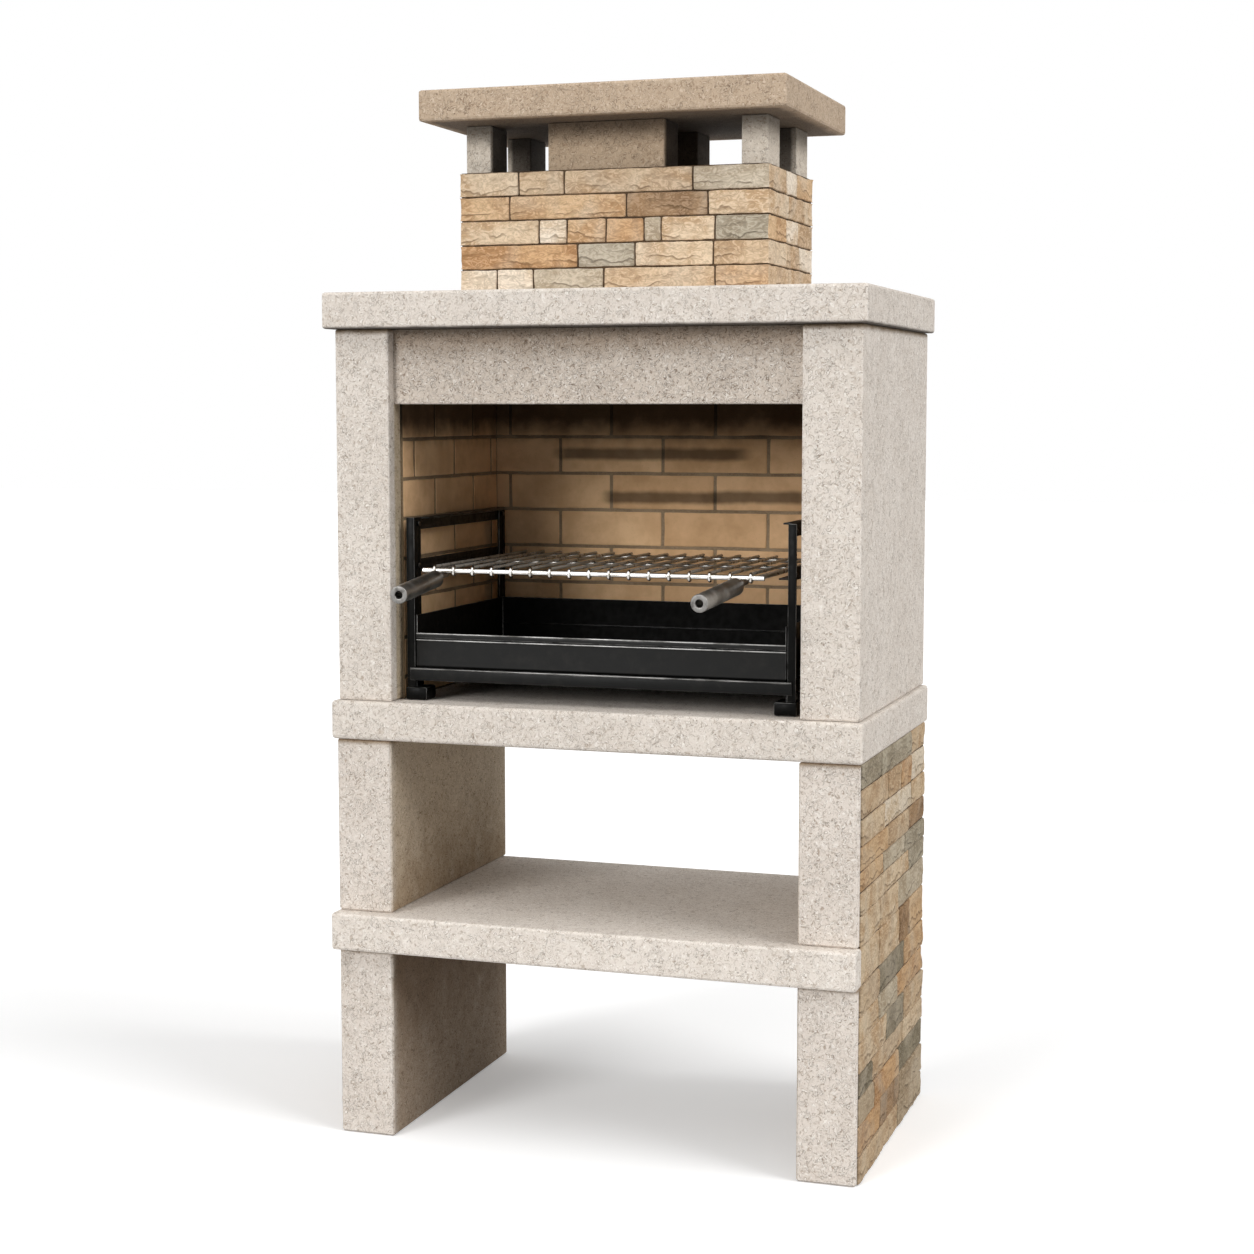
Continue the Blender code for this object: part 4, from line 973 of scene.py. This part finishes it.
def chimney_course(walls, bottom, top):
    """The stones of a chimney course, the corner ones turning the corner."""
    gap = STONE_JOINT / 2
    rows = (bottom + gap, top - gap)

    def stone(wall, start, end, tone):
        return panel(wall.corner, wall.along, (start, end), rows, CHIMNEY_CELL, STONES[tone])

    stones = []
    for wall in walls:
        for start, end, tone in zip(wall.joints, wall.joints[1:], wall.tones):
            stones.append(stone(wall, start + gap, end - gap, tone))
    for wall, following in zip(walls, (*walls[1:], walls[0])):
        first = stone(wall, wall.joints[-1] + gap, wall.length, wall.corner_tone)
        second = stone(following, 0, following.joints[0] - gap, wall.turned_tone)
        stones.append(join([first, second], "corner_stone"))
        bpy.ops.object.mode_set(mode="EDIT")
        bpy.ops.mesh.select_all(action="SELECT")
        bpy.ops.mesh.remove_doubles(threshold=CHIMNEY_CELL / 10)
        bpy.ops.object.mode_set(mode="OBJECT")
    return stones


def chimney_core(low, high):
    """The dark core behind the stones, open from top to bottom."""
    inset = Vector((CHIMNEY_BED, CHIMNEY_BED, 0))
    core = block("core", low + inset, high - inset, DARK_JOINT)
    only(core)
    bpy.ops.object.mode_set(mode="EDIT")
    bpy.ops.mesh.select_mode(type="FACE")
    bpy.ops.mesh.select_all(action="DESELECT")
    work = bmesh.from_edit_mesh(core.data)
    for face in work.faces:
        if abs(face.normal.z) > 0.5:
            face.select_set(True)
    bmesh.update_edit_mesh(core.data)
    bpy.ops.mesh.inset(thickness=CHIMNEY_WALL - CHIMNEY_BED)
    bpy.ops.mesh.bridge_edge_loops()
    bpy.ops.mesh.select_all(action="SELECT")
    bpy.ops.mesh.normals_make_consistent(inside=False)
    bpy.ops.object.mode_set(mode="OBJECT")
    return core


def build_chimney():
    """Five courses of split stone round a hollow core."""
    low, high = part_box("chimney_block")
    rise = (high.z - low.z) / len(CHIMNEY_STONES)
    panels = []
    for course in range(len(CHIMNEY_STONES)):
        walls = chimney_walls(low, high, course)
        panels += chimney_course(walls, low.z + rise * course, low.z + rise * (course + 1))
    stones = rough_slabs(panels, "chimney_stones", CHIMNEY_SLAB, STONE_ROUND, CHIMNEY_RELIEFS, even=True)
    piece = join([stones, chimney_core(low, high)], "stone_chimney")
    settle(shade_smooth(piece), "masonry", "chimney_block")


def brick_levels(rise):
    """Heights of the bed joints, from a cut course at the foot to one at the top."""
    levels = [0, FIRST_BRICK_RISE]
    while levels[-1] + BRICK_RISE < rise:
        levels.append(levels[-1] + BRICK_RISE)
    levels.append(rise)
    return levels


def bond_joints(start, pitch, length, course):
    """Upright joints of a course in running bond."""
    place = start if course % 2 == 0 else start + pitch / 2
    joints = []
    while place < length:
        joints.append(place)
        place += pitch
    return joints


def build_brick_wall(node, corner, along, length, bond, bed_box, finishes, flip=False):
    """A wall of bricks with rounded arrises, over flush mortar."""
    start, pitch, first_course = bond
    low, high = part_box(node)
    levels = brick_levels(high.z - low.z)
    panels = []
    for course, (bottom, top) in enumerate(zip(levels, levels[1:])):
        joints = bond_joints(start, pitch, length, course + first_course)
        if flip:
            joints = [length - place for place in reversed(joints)]
        rows = (bottom + BRICK_JOINT / 2, top - BRICK_JOINT / 2)
        for index, columns in enumerate(spans(length, joints, BRICK_JOINT)):
            finish = finishes[(course * 3 + index * 7) % len(finishes)]
            panels.append(panel(corner, along, columns, rows, BRICK_CELL, finish))
    bricks = rough_slabs(panels, "bricks", BRICK_SKIN, BRICK_ROUND, BRICK_RELIEFS)
    bed = block("bed", *bed_box, BRICK_MORTAR)
    settle(shade_smooth(join([bricks, bed], "fire_" + node)), "masonry", node)


def build_lining():
    """The three walls of the brick lining."""
    depth = Vector((0, MORTAR_DEPTH, 0))
    for side_name, side in SIDES.items():
        node = f"brick_lining_{side_name}"
        low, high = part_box(node)
        face_x = low.x if side > 0 else high.x
        corner = Vector((face_x, high.y if side > 0 else low.y, low.z))
        shift = Vector((side * MORTAR_DEPTH, 0, 0))
        bed_low, bed_high = (low + shift, high) if side > 0 else (low, high + shift)
        build_brick_wall(
            node, corner, Vector((0, -side, 0)), high.y - low.y, (SIDE_START, SIDE_PITCH, 0),
            (bed_low + depth, bed_high), PAINTED_LIGHT_SIDE_BRICKS, side > 0)
    low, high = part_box("brick_lining_back")
    build_brick_wall(
        "brick_lining_back", low, Vector((1, 0, 0)), high.x - low.x, (BACK_START, BACK_PITCH, 1),
        (low + depth, high), BACK_BRICKS)


def finish_castings():
    """Gives the castings their concrete."""
    castings = (
        ("worktop_slab", concrete_finish("cast_concrete", SHELL_TONES)),
        ("shelf_slab", concrete_finish("shelf_concrete", PAINTED_LIGHT_SHELF_TONES)),
        ("mantel", concrete_finish("mantel_concrete", SHELL_TONES, mantel_soot_and_shade())),
        (("lower_leg", "upper_leg"), concrete_finish("leg_concrete", LEG_TONES, inner_painted_shade())),
        ("lintel", concrete_finish("lintel_concrete", LINTEL_TONES, lintel_painted_shade(), LINTEL_PIT_SHARE)),
        ("firebox", concrete_finish("pillar_concrete", SHELL_TONES, pillar_painted_shade())),
        ("cap_post", concrete_finish("post_concrete", POST_TONES, vent_soot_and_shade())),
        ("cap_block", concrete_finish("block_concrete", SHADED_BLOCK_TONES, vent_soot_and_shade())),
        ("cap_slab", concrete_finish("cap_concrete", CAP_TONES, cap_soot_and_shade())),
    )
    for node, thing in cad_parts.items():
        for start, finish in castings:
            if node.startswith(start):
                thing.data.materials.clear()
                thing.data.materials.append(finish)


# Steelwork


def open_disc(place, outward, radius, corners, fill="NGON"):
    """A disc or ring that faces outward, left in edit mode with all of it selected."""
    clear_selection()
    turn = UP.rotation_difference(Vector(outward)).to_euler()
    bpy.ops.mesh.primitive_circle_add(
        vertices=corners, radius=radius, fill_type=fill, location=place, rotation=turn)
    bpy.ops.object.transform_apply(location=True, rotation=True, scale=True)
    bpy.ops.object.mode_set(mode="EDIT")
    bpy.ops.mesh.select_all(action="SELECT")


def draw_out(way):
    """Draws the selected end of a wire out."""
    bpy.ops.mesh.extrude_region_move(TRANSFORM_OT_translate={"value": tuple(way)})


def bend(centre, axis, angle, steps):
    """Bends the selected end of a wire round a centre."""
    bpy.ops.mesh.spin(steps=steps, angle=angle, center=tuple(centre), axis=axis)


def close_wire(name, finish):
    """Leaves edit mode with the wire closed and its faces pointing out."""
    bpy.ops.mesh.select_all(action="SELECT")
    bpy.ops.mesh.remove_doubles(threshold=WIRE_MERGE)
    bpy.ops.mesh.normals_make_consistent(inside=False)
    bpy.ops.object.mode_set(mode="OBJECT")
    return name_piece(bpy.context.object, name, finish)


GRATE_LOW, GRATE_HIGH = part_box("cooking_grate")
ROD_Z = GRATE_HIGH.z - ROD_RADIUS
BAR_Z = ROD_Z - (BAR_RADIUS + ROD_RADIUS - WELD)
GRATE_X = GRATE_HIGH.x - BAR_RADIUS
GRATE_Y = GRATE_LOW.y + BAR_RADIUS + 2 * ROD_RADIUS - WELD
GRATE_BACK_Y = GRATE_HIGH.y - ROD_TAIL
LAST_ROD_X = GRATE_X - ROD_MARGIN
ROD_PITCH = 2 * LAST_ROD_X / (ROD_COUNT - 1)


def grate_frame():
    """The outer wire of the grate: one bar bent round four corners."""
    corner_x = GRATE_X - GRATE_CORNER
    front_y, back_y = GRATE_Y + GRATE_CORNER, GRATE_BACK_Y - GRATE_CORNER
    # Each corner's centre, and the straight run after it
    corners = (
        (corner_x, back_y, (0, front_y - back_y, 0)), (corner_x, front_y, (-2 * corner_x, 0, 0)),
        (-corner_x, front_y, (0, back_y - front_y, 0)), (-corner_x, back_y, (corner_x, 0, 0)))
    open_disc((0, GRATE_BACK_Y, BAR_Z), (1, 0, 0), BAR_RADIUS, BAR_CORNERS, "NOTHING")
    draw_out((corner_x, 0, 0))
    for x, y, run in corners:
        bend((x, y, BAR_Z), (0, 0, 1), -math.pi / 2, GRATE_CORNER_STEPS)
        draw_out(run)
    return close_wire("grate_frame", STEEL["bright_steel"])


def grate_rod():
    """A rod of the grate, wrapped round the front bar."""
    open_disc((0, GRATE_HIGH.y, ROD_Z), (0, 1, 0), ROD_RADIUS, ROD_CORNERS)
    draw_out((0, GRATE_Y - GRATE_HIGH.y, 0))
    bend((0, GRATE_Y, BAR_Z), (1, 0, 0), -WRAP_TURN, WRAP_STEPS)
    return close_wire("grate_rod", STEEL["bright_steel"])


def darken_behind(wire, front_y):
    """Gives a wire a duller steel behind a line."""
    wire.data.materials.append(STEEL["rod_steel"])
    for face in wire.data.polygons:
        if face.center.y > front_y:
            face.material_index = 1


def build_grate():
    """The welded cooking grate."""
    outer = grate_frame()
    darken_behind(outer, GRATE_Y + GRATE_CORNER * 2)
    rod = grate_rod()
    darken_behind(rod, GRATE_Y)
    parts = [outer]
    for index in range(ROD_COUNT):
        copy = rod.copy()
        copy.data = rod.data.copy()
        copy.data.transform(Matrix.Translation((ROD_PITCH * index - LAST_ROD_X, 0, 0)))
        bpy.context.scene.collection.objects.link(copy)
        parts.append(copy)
    bpy.data.objects.remove(rod)
    cross_y = GRATE_Y + (GRATE_BACK_Y - GRATE_Y) * CROSS_SHARE
    open_disc((-GRATE_X, cross_y, ROD_Z - 2 * ROD_RADIUS + WELD), (-1, 0, 0), ROD_RADIUS, ROD_CORNERS)
    draw_out((2 * GRATE_X, 0, 0))
    parts.append(close_wire("grate_cross", STEEL["rod_steel"]))
    settle(shade_smooth(join(parts, "welded_grate")), "grate", "cooking_grate")


def turned_handle(name):
    """A handle turned about Z, from its spigot up: a cone, a barrel, and a bore in its end."""
    open_disc((0, 0, -HANDLE_TAIL), (0, 0, -1), HANDLE_SPIGOT, HANDLE_CORNERS)
    draw_out((0, 0, HANDLE_TAIL + HANDLE_NECK))
    draw_out((0, 0, HANDLE_CONE))
    share = HANDLE_RADIUS / HANDLE_SPIGOT
    bpy.ops.transform.resize(value=(share, share, 1), center_override=(0, 0, 0))
    draw_out((0, 0, HANDLE_LENGTH - HANDLE_NECK - HANDLE_CONE))
    for share in HANDLE_RIM_SHARES:
        bpy.ops.mesh.inset(thickness=(HANDLE_RADIUS - HANDLE_BORE) * share)
    draw_out((0, 0, -HANDLE_BORE_DEPTH))
    handle = close_wire(name, STEEL["handle_steel"])
    handle.data.materials.append(STEEL["handle_rim"])
    for face in handle.data.polygons:
        if face.center.z > HANDLE_LENGTH - HANDLE_RIM_DEPTH and face.normal.z > 0.5:
            face.material_index = 1
    add_rounding(handle, HANDLE_ROUND, HANDLE_ROUND_STEPS, HANDLE_ROUND_ANGLE)
    return apply_modifiers(handle)


def build_handle(side_name, side):
    """A handle under the front bar, tilted down and turned slightly inwards."""
    handle = turned_handle(f"turned_handle_{side_name}")
    ahead = Vector((
        -side * math.sin(HANDLE_SPLAY) * math.cos(HANDLE_TILT),
        -math.cos(HANDLE_SPLAY) * math.cos(HANDLE_TILT), -math.sin(HANDLE_TILT)))
    drop = SEAT + (BAR_RADIUS + HANDLE_SPIGOT) / math.cos(HANDLE_TILT)
    base = Vector((side * (LAST_ROD_X - ROD_PITCH * HANDLE_PLACE_SHARE), GRATE_Y, BAR_Z - drop))
    turn = UP.rotation_difference(ahead).to_matrix().to_4x4()
    handle.data.transform(Matrix.Translation(base) @ turn)
    settle(shade_smooth(handle, HANDLE_SHADE_ANGLE), "grate", f"handle_{side_name}")


def finished_copy(node, name, width, finish, edge_finish=None, shape=None):
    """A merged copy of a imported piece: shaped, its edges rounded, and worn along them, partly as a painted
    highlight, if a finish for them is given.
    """
    piece = bpy.data.objects.new(name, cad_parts[node].data.copy())
    bpy.context.scene.collection.objects.link(piece)
    name_piece(piece, name, *filter(None, (finish, edge_finish)))
    only(piece)
    bpy.ops.object.mode_set(mode="EDIT")
    bpy.ops.mesh.select_all(action="SELECT")
    bpy.ops.mesh.remove_doubles(threshold=STEEL_MERGE)
    bpy.ops.mesh.dissolve_limited(angle_limit=STEEL_FLAT_ANGLE)
    if shape:
        shape(piece)
    bpy.ops.object.mode_set(mode="OBJECT")
    add_rounding(piece, width, ROUND_STEPS, STEEL_ROUND_ANGLE, 1 if edge_finish else -1)
    apply_modifiers(piece)
    return shade_smooth(piece, STEEL_SHADE_ANGLE)


def bead(name, top, face_y, half, steel):
    """A rounded bead across a face."""
    low = (-half, face_y - BEAD_PROUD, top - BEAD_RISE)
    strip = block(name, low, (half, face_y + BEAD_PROUD, top), STEEL[steel])
    add_rounding(strip, BEAD_PROUD, BEAD_STEPS)
    return apply_modifiers(strip)


def build_steelwork():
    """Angles, feet and bolts of the loose frame."""
    sections = ("frame_post", "foot_", "low_rail", "tray_runner", "grate_rail", "top_rail")
    for node in sorted(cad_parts):
        if "_bolt_" in node:
            piece = finished_copy(node, node + "_hexagon", BOLT_EDGE, STEEL["bolt_steel"])
            settle(piece, "masonry", node)
        elif node.startswith(sections):
            name = node + "_section"
            paint = STEEL["post_steel" if node.startswith(("frame_post", "foot_")) else "black_steel"]
            piece = finished_copy(node, name, STEEL_EDGE, paint, STEEL["worn_highlight_edge_steel"])
            if node == "low_rail_front":
                low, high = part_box(node)
                # A bead of bare steel along the rail's top edge: partly wear, partly a painted highlight
                edge = bead("rail_edge", high.z - RAIL_LINE_DROP, low.y, high.x, "rail_highlight_steel")
                piece = shade_smooth(join([piece, edge], name))
            settle(piece, "masonry", node)


def build_tray():
    """The charcoal tray, with the rolled top and the lip of its front hem in bare steel, partly worn and
    partly a painted highlight.
    """
    low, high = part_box("charcoal_tray")

    def round_fold(piece):
        bpy.ops.mesh.select_all(action="DESELECT")
        bpy.ops.mesh.select_mode(type="EDGE")
        work = bmesh.from_edit_mesh(piece.data)
        for edge in work.edges:
            middle = (edge.verts[0].co + edge.verts[1].co) / 2
            near = middle.z < low.z + TRAY_SKIN and middle.y < low.y + TRAY_SHEET + BEAD_PROUD
            if near and edge.calc_length() > high.x:
                edge.select_set(True)
        bmesh.update_edit_mesh(piece.data)
        bpy.ops.mesh.bevel(offset=TRAY_FOLD_ROUND, segments=TRAY_FOLD_STEPS)

    sheet = finished_copy(
        "charcoal_tray", "tray_sheet", STEEL_EDGE, STEEL["tray_steel"], STEEL["worn_highlight_edge_steel"], round_fold)
    sheet.data.materials.append(STEEL["burnt_steel"])
    middle = (low + high) / 2
    top = Vector((middle.x, middle.y, high.z))
    for face in sheet.data.polygons:
        faces_in = face.normal.dot(top - face.center) > 0
        if face.material_index == 0 and faces_in and face.center.z > low.z + TRAY_SKIN:
            face.material_index = 2
    front_top = low.z + TRAY_FRONT_RISE
    # The hem's roll and lip are bare steel, partly wear and partly a painted highlight; the back fold is
    # painted
    beads = (
        bead("hem_roll", front_top, low.y, high.x, "worn_highlight_steel"),
        bead("hem_lip", front_top - HEM_RISE, low.y, high.x, "worn_highlight_steel"),
        bead("back_fold", low.z + FOLD_RISE, high.y - TRAY_SHEET, high.x - TRAY_SHEET, "tray_steel"),
    )
    piece = shade_smooth(join([sheet, *beads], "charcoal_tray_sheet"))
    settle(piece, "tray", "charcoal_tray")


# Stage


def build_floor():
    """A pale floor that keeps the object's shadow and shows white elsewhere."""
    clear_selection()
    bpy.ops.mesh.primitive_plane_add(size=FLOOR_SIZE, location=(0, 0, -FLOOR_DROP))
    finish = Finish("pale_floor", 1.0, specular=0.0)
    path = finish.node("LightPath").outputs
    seen = finish.most(path["Is Camera Ray"], path["Is Glossy Ray"])
    bounce, pale = ((level, level, level, 1) for level in (FLOOR_BOUNCE, FLOOR_PALE))
    finish.set("Base Color", finish.mix(seen, bounce, pale))
    glow = finish.node("Emission", {"Strength": finish.times(seen, FLOOR_GLOW)}).outputs["Emission"]
    both = finish.node("AddShader", {0: finish.shader.outputs["BSDF"], 1: glow}).outputs[0]
    finish.feed(finish.tree.nodes["Material Output"].inputs["Surface"], both)
    name_piece(bpy.context.object, "floor", finish.material)


def build_light():
    """A pale sky from all sides, and broad soft lamps from the front left, the right and above."""
    world = bpy.data.worlds.new("studio")
    world.use_nodes = True
    bpy.context.scene.world = world
    sky = Wiring(world.node_tree)
    path = sky.node("LightPath").outputs
    seen = sky.most(path["Is Camera Ray"], path["Is Glossy Ray"])
    seen = sky.most(seen, path["Is Transmission Ray"])
    background = sky.tree.nodes["Background"].inputs
    sky.feed(background["Color"], (1, 1, 1, 1))
    sky.feed(background["Strength"], sky.ramp(seen, 0.0, 1.0, SKY_LEVEL, 1.0))
    for name, (level, softness, turn) in LAMPS.items():
        lamp = bpy.data.lights.new(name, "SUN")
        lamp.energy = level
        lamp.angle = math.radians(softness)
        light = bpy.data.objects.new(name, lamp)
        light.rotation_euler = [math.radians(angle) for angle in turn]
        bpy.context.scene.collection.objects.link(light)


def build_camera():
    """The camera at the photographed angle."""
    lens = bpy.data.cameras.new("camera")
    lens.lens = CAMERA_LENS
    camera = bpy.data.objects.new("camera", lens)
    camera.location = CAMERA_PLACE
    camera.rotation_euler = (math.pi / 2 - CAMERA_DROP, 0, CAMERA_TURN)
    bpy.context.scene.collection.objects.link(camera)
    bpy.context.scene.camera = camera


build_camera()
build_light()
build_floor()
finish_castings()
for facing_side, facing_sign in SIDES.items():
    build_side_facing(facing_side, facing_sign)
build_chimney()
build_lining()
build_steelwork()
build_tray()
build_grate()
for handle_side, handle_sign in SIDES.items():
    build_handle(handle_side, handle_sign)
bpy.context.scene.view_settings.view_transform = "Standard"
bpy.context.view_layer.update()
